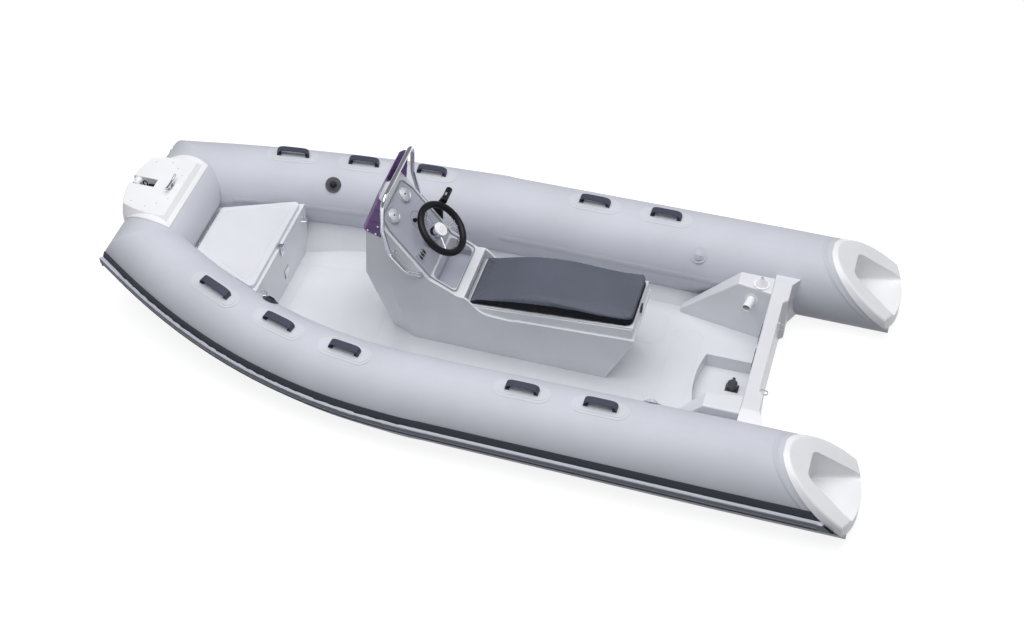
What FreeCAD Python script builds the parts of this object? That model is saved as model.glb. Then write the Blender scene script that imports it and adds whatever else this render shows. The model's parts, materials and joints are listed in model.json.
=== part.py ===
import FreeCAD, Part
import math
import os
from FreeCAD import Vector

# Rigid inflatable boat with a centre console and a jockey seat.
# Millimetres. X points forward, Y to port, Z up.
# The origin is on the waterline, amidships on the centre line.

# Overall
BOW_END_X = 2100.0
STERN_END_X = -2132.0
WATERLINE_BELOW_AXIS = 200.0
CLEAR = 0.4
RUNNING_GAP = 1.0

# Buoyancy tube
TUBE_RADIUS = 231.5
BOW_TUBE_RADIUS = 200.1
TUBE_HALF_SPAN = 745.1
BOW_HALF_SPAN = 335.9
BOW_RISE = 201.9
TUBE_AFT_X = -2098.0
TAPER_START_X = -1440.0
PLAN_START_X = 118.5
PLAN_POWER = 2.207
SHEER_START_X = 286.0
SHEER_POWER = 2.165
TUBE_RINGS = 8

# Stern cone
CONE_SEAM_X = -1719.0
CONE_SEAM_DEG = 41.5
CONE_LAP = 4.0
CONE_FACE_DEG = 36.0
CONE_FACE_BACK = 26.0
CONE_END_BOW = 480.0
CONE_EDGE = 16.0
SCOOP_FORE_X = -1855.0
SCOOP_FORE_HALF = 88.0
SCOOP_AFT_HALF = 150.0
SCOOP_AFT_X = -2075.0
SCOOP_CORNER = 42.0
SCOOP_WALL = 8.0
SCOOP_FLOOR_Z = 152.0
SCOOP_FLOOR_FILLET = 22.0
GROOVE_INSET = 34.0
GROOVE_SIZE = 4.0
GROOVE_HALF = 115.0

# Rubbing strake, as angles round the tube
STRAKE_PROUD = 22.0
STRAKE_BAND_PROUD = 5.0
STRAKE_SEAT = 4.0
STRAKE_TOP_DEG = 15.0
STRAKE_BOTTOM_DEG = -18.0
STRAKE_RIDGE_TOP_DEG = 3.0
STRAKE_RIDGE_BOTTOM_DEG = -12.0
STRAKE_RIDGE_FLANK_DEG = 2.0

# Grab handles and their patches, on the port tube and mirrored
HANDLE_PLACES = ((1396.0, 85.0), (998.0, 88.0), (598.0, 88.0), (-371.0, 91.0), (-781.0, 91.0))
HANDLE_SPAN = 176.0
HANDLE_RISE = 36.0
HANDLE_WIDTH = 42.0
HANDLE_SEAT = 1.55
HANDLE_THICKNESS = 5.0
HANDLE_FOOT = 24.0
HANDLE_ARCH = ((0.0, 0.0), (2.5, 0.5), (10.0, 0.8), (24.0, 0.95), (44.0, 1.0))
PATCH_LENGTH = 300.0
PATCH_WIDTH = 120.0
PATCH_THICKNESS = 3.0
PATCH_STEP = 14.0
PATCH_RINGS = 4

# Air valves
VALVE_PLACES = ((1157.0, 133.0), (-1010.0, 140.0))
VALVE_RADIUS = 29.0
VALVE_PROUD = 12.0
VALVE_DISH_RADIUS = 17.4
VALVE_FLANGE_RADIUS = 45.0

# Hull bottom
KEEL_DEPTH = 235.0
KEEL_START_X = 200.0
KEEL_POWER = 3.2
STEM_X = 1925.0
STEM_Z = 205.0
CHINE_FLAT = 32.0
CHINE_ABOVE_KEEL = 20.0
TOPSIDE_AFT = 92.0
TOPSIDE_FORE = 52.0
SPRAY_RAIL_SHARES = (0.36, 0.68)
SPRAY_RAIL_WIDTH = 26.0
SPRAY_RAIL_DEPTH = 10.0
SPRAY_RAIL_END_X = 1300.0
HULL_CONTACT_COS = 0.80
HULL_CONTACT_SIN = 0.60
HULL_INTO_TUBE = 40.0

# Deck liner
SOLE_Z = -15.0
LINER_THICKNESS = 12.0
MARGIN_SLOPE_DEG = 57.0
LINER_END_X = 1745.0
LOCKER_FLOOR_RISE = 165.0
LINER_LIP = 10.0
VOID_HEIGHT = 400.0
SUMP_DEPTH = 90.0
SUMP_HALF_WIDTH = 190.0
SUMP_AHEAD = 360.0
SUMP_BOW = 28.0

# Transom and knees
TRANSOM_X = -1525.0
SUMP_FORE_X = TRANSOM_X + SUMP_AHEAD
TRANSOM_THICKNESS = 75.0
TRANSOM_TOP_Z = 350.0
TRANSOM_SHOULDER_Z = 332.0
TRANSOM_INTO_TUBE = 43.4
TRANSOM_SHOULDER_INSET = 77.0
TRANSOM_HALF_SPAN = TUBE_HALF_SPAN - TUBE_RADIUS + TRANSOM_INTO_TUBE
TRANSOM_SHOULDER_Y = TRANSOM_HALF_SPAN - TRANSOM_SHOULDER_INSET
WING_Y = 334.0
WING_BACK = 25.0
WING_TIP_BACK = 62.0
TRANSOM_EDGE = 8.0
KNEE_TIP_REACH = 573.0
KNEE_CREST_REACH = 263.0
KNEE_TIP_X = TRANSOM_X + KNEE_TIP_REACH
KNEE_CREST_X = TRANSOM_X + KNEE_CREST_REACH
KNEE_FORE_WIDTH = 45.6
KNEE_AFT_WIDTH = 128.6
KNEE_OUTER_Y = TUBE_HALF_SPAN - TUBE_RADIUS
KNEE_INNER_FORE_Y = KNEE_OUTER_Y - KNEE_FORE_WIDTH
KNEE_INNER_AFT_Y = KNEE_OUTER_Y - KNEE_AFT_WIDTH
KNEE_TOP_Z = 345.0
KNEE_TIP_RISE = 30.0
KNEE_EDGE = 10.0

# Transom fittings
PAD_HALF_GAP = 95.0
PAD_Z = 270.0
PAD_WIDTH = 130.0
PAD_HEIGHT = 130.0
PAD_THICKNESS = 4.0
EYE_WIRE = 4.0
EYE_HALF = 22.0
EYE_REACH = 34.0
EYE_PLATE = 3.0
STERN_EYE_Y = 250.0
STERN_EYE_Z = 250.0
LOCKER_EYE_Y = 312.0
LOCKER_EYE_Z = 257.0
BOW_EYE_X = 1800.0
BOOT_AHEAD = 138.0
BOOT_FROM_TUBE = 72.6
BOOT_PLACE = (TRANSOM_X + BOOT_AHEAD, BOOT_FROM_TUBE - KNEE_OUTER_Y)
BOOT_RADIUS = 44.0
BOOT_BORE_RADIUS = 8.0
BOOT_FOLD_TAPER = 0.17
BOOT_RISE = 46.0
BOOT_RINGS = 4
RIGGING_PIPE_AHEAD = 179.0
RIGGING_PIPE_X = TRANSOM_X + RIGGING_PIPE_AHEAD
RIGGING_PIPE_Z = 262.0
RIGGING_PIPE_RADIUS = 24.0
RIGGING_PIPE_LENGTH = 82.0
RIGGING_FLANGE_RADIUS = 38.0
RIGGING_WALL = 3.0
PUMP_AHEAD = 185.0
PUMP_PLACE = (TRANSOM_X + PUMP_AHEAD, -60.0)
PUMP_RADIUS = 28.0
PUMP_FOOT_HALF = 36.4
PUMP_HEIGHT = 42.0
DRAIN_RADIUS = 16.0
DRAIN_FLANGE_RADIUS = 25.6
DRAIN_Y = 130.0
DRAIN_Z = -70.0

# Bow locker
LOCKER_LENGTH = 477.0
LOCKER_FORE_GAP = 383.0
LOCKER_FORE_X = BOW_END_X - LOCKER_FORE_GAP
LOCKER_AFT_X = LOCKER_FORE_X - LOCKER_LENGTH
LOCKER_AFT_HALF = 378.0
LOCKER_FORE_HALF = 203.0
LOCKER_TOP_Z = 318.0
LOCKER_WALL = 12.0
LOCKER_SINK = 20.0
LOCKER_MOUTH_INSET = 45.0
LID_AFT_INSET = 18.0
LID_FORE_INSET = 49.0
LID_AFT_X = LOCKER_AFT_X + LID_AFT_INSET
LID_FORE_X = LOCKER_FORE_X - LID_FORE_INSET
LID_THICKNESS = 26.0
LID_CORNER = 26.0
LID_EDGE = 6.0
LID_LIFT = 0.4
LID_GROOVE_INSET = 34.0
LID_GROOVE_WIDTH = 4.0
LID_GROOVE_DEPTH = 1.5
LID_TUBE_GAP = 8.0
LID_FORE_GAP = 26.0
LID_HINGE_GAP = 0.4
LID_LUG_WIDTH = 24.0
LID_LUG_GAP = 3.0
LID_HINGE_RADIUS = 5.0
LATCH_WIDTH = 34.0
LATCH_HEIGHT = 60.0
LATCH_THICKNESS = 6.0
LATCH_GAP = 5.4

# Bow plate, roller and cleat
PLATE_TOP_Z = 612.0
PLATE_SHOULDER_Z = 552.0
PLATE_LENGTH = 293.0
PLATE_SETBACK = 4.0
PLATE_FORE_X = BOW_END_X - PLATE_SETBACK
PLATE_AFT_X = PLATE_FORE_X - PLATE_LENGTH
PLATE_AFT_HALF = 226.0
PLATE_SIDE_HALF = 230.0
PLATE_FORE_HALF = 196.0
PLATE_NOSE_RUN = 38.0
PLATE_FORE_SIDE_X = PLATE_FORE_X - PLATE_NOSE_RUN
PLATE_FLARE_AFT = 45.0
PLATE_FLARE_SIDE = 44.0
PLATE_FLANGE = 5.0
PLATE_SKIRT_Z = 500.0
PLATE_EDGE = 6.0
SLOT_LENGTH = 146.0
SLOT_AFT_X = PLATE_FORE_X - SLOT_LENGTH
SLOT_HALF = 31.0
ROLLER_INSET = 32.0
ROLLER_X = PLATE_FORE_X - ROLLER_INSET
ROLLER_DROP = 20.0
ROLLER_RADIUS = 23.0
ROLLER_HALF = 26.0
ROLLER_WAIST = 17.0
PIN_RADIUS = 5.0
PIN_PLAY = 0.15
PIN_BITE = 12.0
CLEAT_INSET = 54.0
CLEAT_X = PLATE_AFT_X + CLEAT_INSET
CLEAT_HALF = 62.0
CLEAT_RADIUS = 7.0
CLEAT_RISE = 26.0
CLEAT_LEG_HALF = 20.0
CLEAT_BASE_THICKNESS = 5.0

# Console
BELT_HALF = 204.0
BELT = ((504.0, 341.0), (409.0, 444.0), (312.0, 500.0), (239.0, 506.0), (165.0, 470.0), (108.0, 432.0))
CONSOLE_BASE_HALF = 141.0
CONSOLE_AFT_X = 108.0
NOSE_FOOT = (561.0, 81.0)
NOSE_KNUCKLE_FOOT_X = 405.0
NOSE_WAIST = (657.0, 196.0, 472.0)
NOSE_BROW = (640.0, 200.0, 792.0)
KNUCKLE_X = 504.0
KNUCKLE_Z = 341.0
BROW_RISE = 90.0
BROW_BACK = 50.0
DASH_DEG = 52.0
DASH_POINT = (534.0, 811.0)
DASH_FOOT_X = 301.0
DASH_HEAD_X = 590.0
LIP_X = 150.0
LIP_Z = 432.0
DASH_MARGIN = 24.0
PANEL_THICKNESS = 3.0
TRIM_RADIUS = 4.0
TRAY_AFT_X = 166.0
TRAY_FORE_X = 292.0
TRAY_HALF = 165.0
TRAY_FLOOR_Z = 388.0
TRAY_CORNER = 28.0
TRAY_WALL = 3.0

# Instruments
GAUGE_RADIUS = 44.0
GAUGE_HALF_GAP = 88.0
GAUGE_PROUD = 14.0
GAUGE_BEZEL = 5.0
SWITCH_X = 372.0
SWITCH_Y = 116.0
SWITCH_WIDTH = 84.0
SWITCH_HEIGHT = 56.0
SWITCH_THICKNESS = 5.0
ROCKER_WIDTH = 13.0
ROCKER_HEIGHT = 24.0
ROCKER_PROUD = 4.0
ROCKER_PITCH = 24.0
KNOB_PLACES = ((452.0, -20.0), (438.0, -62.0))
KNOB_RADIUS = 12.0
SLIM = 0.8
KNOB_PROUD = 14.0

# Steering
WHEEL_CENTRE = (287.0, 0.0, 710.0)
WHEEL_TILT_DEG = 48.5
WHEEL_RADIUS = 142.0
RIM_RADIUS = 19.0
SPOKE_RADIUS = 4.0
SPOKE_SPREAD_DEG = 7.0
SPOKE_COUNT = 3
HUB_RADIUS = 32.0
HUB_DEPTH = 40.0
HUB_DISH = 14.0
CAP_RADIUS = 40.0
CAP_THICKNESS = 10.0
SHAFT_RADIUS = 10.0
SHAFT_INTO_HUB = 20.0
HELM_RADIUS = 50.0
HELM_FRONT_RADIUS = 38.0
HELM_FRONT = 62.0
BELLOWS_RADIUS = 30.0
BELLOWS_LENGTH = 18.0

# Throttle
THROTTLE_X = 400.0
THROTTLE_Z = 618.0
THROTTLE_SIZE = (96.0, 18.0, 84.0)
THROTTLE_EDGE = 6.0
LEVER_PIVOT_RADIUS = 20.0
LEVER_THICKNESS = 8.0
LEVER_GRIP = (330.0, 752.0)
GRIP_RADIUS = 18.0
GRIP_LENGTH = 104.0
GRIP_OVERHANG = 43.0

# Rail and screen
RAIL_RADIUS = 12.5
RAIL_ROUTE = ((350.0, 540.0), (412.0, 588.0), (498.0, 690.0), (530.0, 850.0), (522.0, 1045.0))
RAIL_HALF = 248.0
RAIL_HEAD_HALF = 240.0
RAIL_BEND = 60.0
RAIL_FLANGE_RADIUS = 22.0
RAIL_FLANGE_THICKNESS = 4.0
STANDOFF_ROUTE_SHARE = 0.35
STANDOFF_RADIUS = 7.0
STANDOFF_DISC_RADIUS = 15.4
SCREEN_THICKNESS = 4.0
SCREEN_FOOT = ((556.0, 206.9, 758.0), (645.0, 207.0, 787.0), (659.0, 181.0, 794.0))
SCREEN_HEAD = ((538.0, 214.0, 1016.0), (556.0, 205.0, 1024.0), (572.0, 172.0, 1032.0))
SCREEN_BEND = 14.0

# Seat
SEAT_AFT_X = -812.0
SEAT_BASE_AFT_X = -669.0
SEAT_BASE_HALF = 143.0
SEAT_TOP_HALF = 190.0
SEAT_BELT = ((108.0, 430.0), (74.0, 404.0), (40.0, 368.0), (-10.0, 340.0), (-90.0, 332.0), (-180.0, 336.0))
LEDGE_AFT_Z = 376.0
SEAT_TOP_FORE_Z = 362.0
SEAT_TOP_AFT_Z = 440.0
SEAT_WALL = 12.0
SEAT_LOCKER_FLOOR = 60.0
SEAT_LID_THICKNESS = 10.0
SEAT_LID_INSET = 5.0
SEAT_LIP = 28.0
CUSHION_FORE_X = 93.0
CUSHION_SIDE_GAP = 6.0
CUSHION_CORNER = 42.0
CUSHION_HALF = 186.0
CUSHION_RISE = ((CUSHION_FORE_X, 26.0), (-90.0, 64.0), (-300.0, 92.0), (-500.0, 80.0), (-690.0, 62.0),
                (-812.0, 66.0))
SEAT_HINGE_X = 103.0
SEAT_HINGE_Z = 399.0
SEAT_HINGE_RADIUS = 4.5
SEAT_HINGE_LEAF = 120.0
CATCH_WIDTH = 30.0
CATCH_HEIGHT = 46.0
CATCH_THICKNESS = 10.0

os.makedirs("parts", exist_ok=True)


def save(shape, node):
    shape.exportStep("parts/" + node + ".step")


def clamp(value, low, high):
    return max(low, min(high, value))


def blend(low, high, share):
    return low + (high - low) * share


def tan(degrees):
    return math.tan(math.radians(degrees))


def mirrored(shape):
    return shape.mirror(Vector(0, 0, 0), Vector(0, 1, 0))


def both_sides(shape):
    return [shape, mirrored(shape)]


def polygon(points):
    return Part.makePolygon(list(points) + [points[0]])


def box(low, high):
    size = [b - a for a, b in zip(low, high)]
    return Part.makeBox(size[0], size[1], size[2], Vector(*low))


def prism_y(points, half):
    """Side profile of (x, z) points, carried from -half to half across the boat."""
    wire = polygon([Vector(x, -half, z) for x, z in points])
    return Part.Face(wire).extrude(Vector(0, 2 * half, 0))


def prism_z(points, low, high):
    """Plan outline of (x, y) points, carried from low to high."""
    wire = polygon([Vector(x, y, low) for x, y in points])
    return Part.Face(wire).extrude(Vector(0, 0, high - low))


def half_plan(points):
    """Plan outline from its port half, given from front to back."""
    return list(points) + [(x, -y) for x, y in reversed(points)]


def upright_edges(shape):
    """Straight edges that stand along Z."""
    found = []
    for edge in shape.Edges:
        start = edge.Vertexes[0].Point
        end = edge.Vertexes[-1].Point
        if abs(end.z - start.z) > abs(end.x - start.x) + abs(end.y - start.y):
            found.append(edge)
    return found


def edges_at(shape, low, high):
    """Edges whose middle lies between the two corners."""
    found = []
    for edge in shape.Edges:
        centre = edge.CenterOfMass
        if all(a <= b <= c for a, b, c in zip(low, (centre.x, centre.y, centre.z), high)):
            found.append(edge)
    return found


def rod(start, end, radius):
    start = Vector(*start)
    end = Vector(*end)
    return Part.makeCylinder(radius, (end - start).Length, start, end - start)


def route(points, bend):
    """Straight runs through the points, with an arc of the given radius at each corner."""
    points = [Vector(*p) for p in points]
    edges = []
    start = points[0]
    for before, corner, after in zip(points, points[1:], points[2:]):
        a = (before - corner).normalize()
        b = (after - corner).normalize()
        half = math.acos(clamp(a.dot(b), -1.0, 1.0)) / 2
        reach = bend / math.tan(half)
        enter = corner + a * reach
        leave = corner + b * reach
        centre = corner + (a + b).normalize() * (bend / math.sin(half))
        middle = centre + (corner - centre).normalize() * bend
        edges.append(Part.LineSegment(start, enter).toShape())
        edges.append(Part.Arc(enter, middle, leave).toShape())
        start = leave
    edges.append(Part.LineSegment(start, points[-1]).toShape())
    return Part.Wire(edges)


def pipe(points, radius, bend):
    points = [Vector(*p) for p in points]
    section = Part.Wire(Part.makeCircle(radius, points[0], points[1] - points[0]))
    return route(points, bend).makePipeShell([section], True, False)


def placed(shape, point, up, along=None):
    """Shape made at the origin, moved so that its Z points along up and its X along the given line."""
    up = Vector(up).normalize()
    along = Vector(along) if along else Vector(1, 0, 0)
    across = up.cross(along).normalize()
    fore = across.cross(up)
    turn = FreeCAD.Rotation(fore, across, up, "ZXY")
    shape.Placement = FreeCAD.Placement(point, turn)
    return shape


# Tube geometry
BOW_X = BOW_END_X - STRAKE_PROUD - BOW_TUBE_RADIUS
TUBE_Z = WATERLINE_BELOW_AXIS
TUBE_TOP_Z = TUBE_Z + TUBE_RADIUS
BOW_Z = TUBE_Z + BOW_RISE
CORNER = Vector(BOW_X, BOW_HALF_SPAN, BOW_Z)
SPAN_LOSS = TUBE_HALF_SPAN - BOW_HALF_SPAN
UP = Vector(0, 0, 1)
FAR = 3000.0


def axis(x):
    """Port tube's axis at x."""
    u = clamp((x - PLAN_START_X) / (BOW_X - PLAN_START_X), 0.0, 1.0)
    v = clamp((x - SHEER_START_X) / (BOW_X - SHEER_START_X), 0.0, 1.0)
    return Vector(x, TUBE_HALF_SPAN - SPAN_LOSS * u ** PLAN_POWER, TUBE_Z + BOW_RISE * v ** SHEER_POWER)


def tangent(x):
    step = 0.5
    x = min(x, BOW_X - step)
    return (axis(x + step) - axis(x - step)).normalize()


def radius(x):
    share = clamp((x - TAPER_START_X) / (BOW_X - TAPER_START_X), 0.0, 1.0)
    return blend(TUBE_RADIUS, BOW_TUBE_RADIUS, share)


def outboard(x):
    """Level direction that points away from the boat at x on the port tube."""
    return UP.cross(tangent(x)).normalize()


def on_tube(x, degrees, lift=0.0):
    """Point on the port tube and its outward normal; 0 degrees is outboard and 90 is on top."""
    out = outboard(x)
    over = tangent(x).cross(out)
    turn = math.radians(degrees)
    normal = out * math.cos(turn) + over * math.sin(turn)
    return axis(x) + normal * (radius(x) + lift), normal


def inner_skin(x, z):
    """Half width between the side tubes at x, at height z."""
    place = x
    for attempt in range(6):
        out = outboard(place)
        drop = math.sqrt(radius(place) ** 2 - (z - axis(place).z) ** 2)
        place = x + drop * out.x
    return axis(place).y - drop * out.y


BOW_TANGENT = tangent(BOW_X)
MITRE_NORMAL = (BOW_TANGENT + Vector(0, -1, 0)).normalize()
OVERRUN = 330.0


def half_space(point, normal):
    """Large block that fills the side of a plane that its normal points to."""
    block = Part.makeBox(FAR, FAR, FAR, Vector(-FAR / 2, -FAR / 2, 0))
    block.Placement = FreeCAD.Placement(point, FreeCAD.Rotation(UP, normal))
    return block


def ring_places():
    count = TUBE_RINGS
    return [blend(PLAN_START_X, BOW_X, i / count) for i in range(count + 1)]


def tube_aft(offset=0.0):
    return Part.makeCylinder(TUBE_RADIUS + offset, TAPER_START_X - TUBE_AFT_X,
                             Vector(TUBE_AFT_X, TUBE_HALF_SPAN, TUBE_Z), Vector(1, 0, 0))


def tube_middle(offset=0.0):
    return Part.makeCone(TUBE_RADIUS + offset, radius(PLAN_START_X) + offset, PLAN_START_X - TAPER_START_X,
                         Vector(TAPER_START_X, TUBE_HALF_SPAN, TUBE_Z), Vector(1, 0, 0))


def tube_bent(offset=0.0):
    rings = [Part.Wire(Part.makeCircle(radius(x) + offset, axis(x), tangent(x))) for x in ring_places()]
    return Part.makeLoft(rings, True)


def side_tube():
    """Port tube from the stern to the mitre."""
    end = Part.makeCylinder(BOW_TUBE_RADIUS, OVERRUN, CORNER, BOW_TANGENT)
    whole = tube_aft().fuse([tube_middle(), tube_bent(), end])
    return whole.cut(half_space(CORNER, MITRE_NORMAL))


def cross_tube():
    """Straight tube across the bow, between the two mitres."""
    length = 2 * (BOW_HALF_SPAN + OVERRUN)
    bar = Part.makeCylinder(BOW_TUBE_RADIUS, length, Vector(BOW_X, -length / 2, BOW_Z), Vector(0, 1, 0))
    port = half_space(CORNER, MITRE_NORMAL * -1)
    return bar.cut([port, mirrored(port)])


AFT_CUTTERS = both_sides(tube_aft(CLEAR))
MIDDLE_CUTTERS = both_sides(tube_middle(CLEAR))
BENT_CUTTERS = both_sides(tube_bent(CLEAR))
BOW_CUTTER = Part.makeCylinder(BOW_TUBE_RADIUS + CLEAR, 2 * BOW_HALF_SPAN,
                               Vector(BOW_X, -BOW_HALF_SPAN, BOW_Z),
                               Vector(0, 1, 0))


# Stern cones
def seam_space(shift=0.0):
    """Half space behind the slanted seam between tube and cone."""
    along = Vector(-1, 0, -tan(CONE_SEAM_DEG))
    return half_space(Vector(CONE_SEAM_X + shift, 0, TUBE_TOP_Z), Vector(0, 1, 0).cross(along))


def face_plane(x):
    """Height of the cone's slanted face at x."""
    return TUBE_TOP_Z + CONE_LAP - (CONE_SEAM_X - CONE_FACE_BACK - x) * tan(CONE_FACE_DEG)


def scoop(grow=0.0):
    """Pocket in the cone, with a level floor and upright walls; grow takes in its wall."""
    floor_z = SCOOP_FLOOR_Z - grow
    side = SCOOP_AFT_HALF + grow
    outline = half_plan([(SCOOP_FORE_X + grow, SCOOP_FORE_HALF + grow), (SCOOP_AFT_X, side),
                         (STERN_END_X - SCOOP_CORNER, side)])
    pocket = prism_z(outline, floor_z, TUBE_TOP_Z)
    corners = edges_at(pocket, (SCOOP_AFT_X - 1, -side - 1, floor_z + 1),
                       (SCOOP_FORE_X + grow + 1, side + 1, TUBE_TOP_Z - 1))
    pocket = pocket.makeFillet(SCOOP_CORNER, corners)
    floor = edges_at(pocket, (SCOOP_AFT_X - SCOOP_CORNER, -FAR, floor_z - 1), (FAR, FAR, floor_z + 1))
    return pocket.makeFillet(SCOOP_FLOOR_FILLET, floor)


def groove():
    """Shallow line round the foot step, parallel to its aft edge."""
    centre = Vector(STERN_END_X + CONE_END_BOW, 0, SCOOP_FLOOR_Z - GROOVE_SIZE / 2)
    outer = Part.makeCylinder(CONE_END_BOW - GROOVE_INSET, GROOVE_SIZE, centre)
    inner = Part.makeCylinder(CONE_END_BOW - GROOVE_INSET - GROOVE_SIZE, GROOVE_SIZE, centre)
    reach = box((STERN_END_X, -GROOVE_HALF, 0), (SCOOP_AFT_X, GROOVE_HALF, TUBE_TOP_Z))
    return outer.cut(inner).common(reach)


def cone_port():
    """Moulded end cap with a slanted open face, a pocket and a foot step."""
    length = CONE_SEAM_X - STERN_END_X
    bar = Part.makeCylinder(TUBE_RADIUS + CONE_LAP, length, Vector(STERN_END_X, 0, TUBE_Z), Vector(1, 0, 0))
    cap = bar.common(seam_space()).fuse(scoop(SCOOP_WALL).common(bar))
    end = Part.makeCylinder(CONE_END_BOW, FAR, Vector(STERN_END_X + CONE_END_BOW, 0, -FAR / 2))
    cap = cap.common(end)
    above = [(CONE_SEAM_X, face_plane(CONE_SEAM_X)), (-FAR, face_plane(-FAR)), (-FAR, FAR),
             (CONE_SEAM_X, FAR)]
    wedge = prism_y(above, FAR / 2)
    cap = cap.cut(wedge)
    rim = []
    for edge in cap.Edges:
        middle = edge.CenterOfMass
        if abs(middle.z - face_plane(middle.x)) < CONE_EDGE and edge.Length > CONE_LAP:
            rim.append(edge)
    cap = cap.makeFillet(CONE_EDGE, rim)
    cap = cap.cut([scoop(), groove()])
    cap.translate(Vector(0, TUBE_HALF_SPAN, 0))
    return cap


def tube_port():
    socket = scoop(SCOOP_WALL + CLEAR)
    socket.translate(Vector(0, TUBE_HALF_SPAN, 0))
    return side_tube().cut(seam_space(CLEAR)).cut(socket)


# Rubbing strakes
def around(centre, out, up, r, degrees):
    turn = math.radians(degrees)
    return centre + out * (r * math.cos(turn)) + up * (r * math.sin(turn))


def strake_section(centre, out, up, r, seat=CLEAR):
    """Closed outline: an arc at seat off the tube, and a raised ridge between two flat bands."""
    profile = [(STRAKE_BOTTOM_DEG, seat), (STRAKE_BOTTOM_DEG, STRAKE_BAND_PROUD),
               (STRAKE_RIDGE_BOTTOM_DEG, STRAKE_BAND_PROUD),
               (STRAKE_RIDGE_BOTTOM_DEG + STRAKE_RIDGE_FLANK_DEG, STRAKE_PROUD),
               (STRAKE_RIDGE_TOP_DEG - STRAKE_RIDGE_FLANK_DEG, STRAKE_PROUD),
               (STRAKE_RIDGE_TOP_DEG, STRAKE_BAND_PROUD),
               (STRAKE_TOP_DEG, STRAKE_BAND_PROUD), (STRAKE_TOP_DEG, seat)]
    points = [around(centre, out, up, r + proud, degrees) for degrees, proud in profile]
    middle = around(centre, out, up, r + seat, (STRAKE_TOP_DEG + STRAKE_BOTTOM_DEG) / 2)
    edges = [Part.LineSegment(a, b).toShape() for a, b in zip(points, points[1:])]
    return Part.Wire(edges + [Part.Arc(points[-1], middle, points[0]).toShape()])


def strake_ring(x, seat=CLEAR):
    return strake_section(axis(x), outboard(x), tangent(x).cross(outboard(x)), radius(x), seat)


def strake_port():
    """Strip along the port tube: straight at the stern, bent ahead of it, cut at the seam and the mitre."""
    aft = Part.makeLoft([strake_ring(x) for x in (TUBE_AFT_X, TAPER_START_X)], True, True)
    middle = Part.makeLoft([strake_ring(x) for x in (TAPER_START_X, PLAN_START_X)], True, True)
    bent = Part.makeLoft([strake_ring(x, -STRAKE_SEAT) for x in ring_places()], True).cut(BENT_CUTTERS[0])
    out = outboard(BOW_X)
    up = BOW_TANGENT.cross(out)
    end = Part.makeLoft([strake_section(CORNER + BOW_TANGENT * reach, out, up, BOW_TUBE_RADIUS)
                         for reach in (0.0, OVERRUN)], True, True)
    return aft.cut(seam_space(CLEAR)).fuse([middle, bent, end]).cut(half_space(CORNER, MITRE_NORMAL))


def strake_bow():
    half = BOW_HALF_SPAN + OVERRUN
    bar = Part.makeLoft([strake_section(Vector(BOW_X, y, BOW_Z), Vector(1, 0, 0), UP, BOW_TUBE_RADIUS)
                         for y in (-half, half)], True, True)
    port = half_space(CORNER, MITRE_NORMAL * -1)
    return bar.cut([port, mirrored(port)])


# Handles, patches and valves
def stadium(length, width, height):
    """Block with round ends, its long side along X, standing on the XY plane."""
    half = length / 2 - width / 2
    body = box((-half, -width / 2, 0), (half, width / 2, height))
    ends = [Part.makeCylinder(width / 2, height, Vector(x, 0, 0)) for x in (-half, half)]
    return body.fuse(ends).removeSplitter()


def sector(x, degrees, half_angle, low, high):
    """Piece of a ring round the port tube, between two lifts off its skin."""
    out = outboard(x)
    up = tangent(x).cross(out)
    corners = [around(axis(x), out, up, radius(x) + lift, degrees + turn)
               for lift in (low, high) for turn in (-half_angle, 0.0, half_angle)]
    edges = [Part.Arc(*corners[:3]).toShape(), Part.LineSegment(corners[2], corners[5]).toShape(),
             Part.Arc(corners[5], corners[4], corners[3]).toShape(),
             Part.LineSegment(corners[3], corners[0]).toShape()]
    return Part.Wire(edges)


def pad(x, degrees, length, width, high):
    """Oval pad wrapped on the port tube."""
    half_angle = math.degrees(width / radius(x))
    reach = length / 2 + CLEAR
    places = [blend(x - reach, x + reach, i / PATCH_RINGS) for i in range(PATCH_RINGS + 1)]
    skin = Part.makeLoft([sector(p, degrees, half_angle, CLEAR, high) for p in places], True)
    point, normal = on_tube(x, degrees, -width / 2)
    block = placed(stadium(length, width, width), point, normal, tangent(x))
    return skin.common(block)


def handle_patches():
    """Stepped oval pads under the handles."""
    pads = []
    for x, degrees in HANDLE_PLACES:
        wide = pad(x, degrees, PATCH_LENGTH, PATCH_WIDTH, PATCH_THICKNESS / 2)
        narrow = pad(x, degrees, PATCH_LENGTH - 2 * PATCH_STEP, PATCH_WIDTH - 2 * PATCH_STEP,
                     PATCH_THICKNESS)
        pads.append(wide.fuse(narrow))
    return Part.Compound(pads + [mirrored(p) for p in pads])


def handle(x, degrees):
    """Webbing strap that arches between two feet turned in under it."""
    lift = PATCH_THICKNESS + HANDLE_SEAT
    fore, normal = on_tube(x + HANDLE_SPAN / 2, degrees, lift)
    aft, other = on_tube(x - HANDLE_SPAN / 2, degrees, lift)
    foot = (fore - aft).Length / 2
    thick = HANDLE_THICKNESS
    outer = [(foot - HANDLE_FOOT, 0)] + [(foot - a, share * HANDLE_RISE) for a, share in HANDLE_ARCH]
    inner = [(foot - a - thick, max(thick, share * HANDLE_RISE - thick)) for a, share in HANDLE_ARCH]
    inner = [(foot - HANDLE_FOOT, thick)] + inner
    over = [(-a, b) for a, b in reversed(outer)]
    under = [(-a, b) for a, b in inner]
    strap = prism_y(outer + over + under + inner[::-1], HANDLE_WIDTH / 2)
    return placed(strap, (fore + aft) * 0.5, (normal + other) * 0.5, fore - aft)


def handles():
    straps = [handle(x, degrees) for x, degrees in HANDLE_PLACES]
    return Part.Compound(straps + [mirrored(s) for s in straps])


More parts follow.
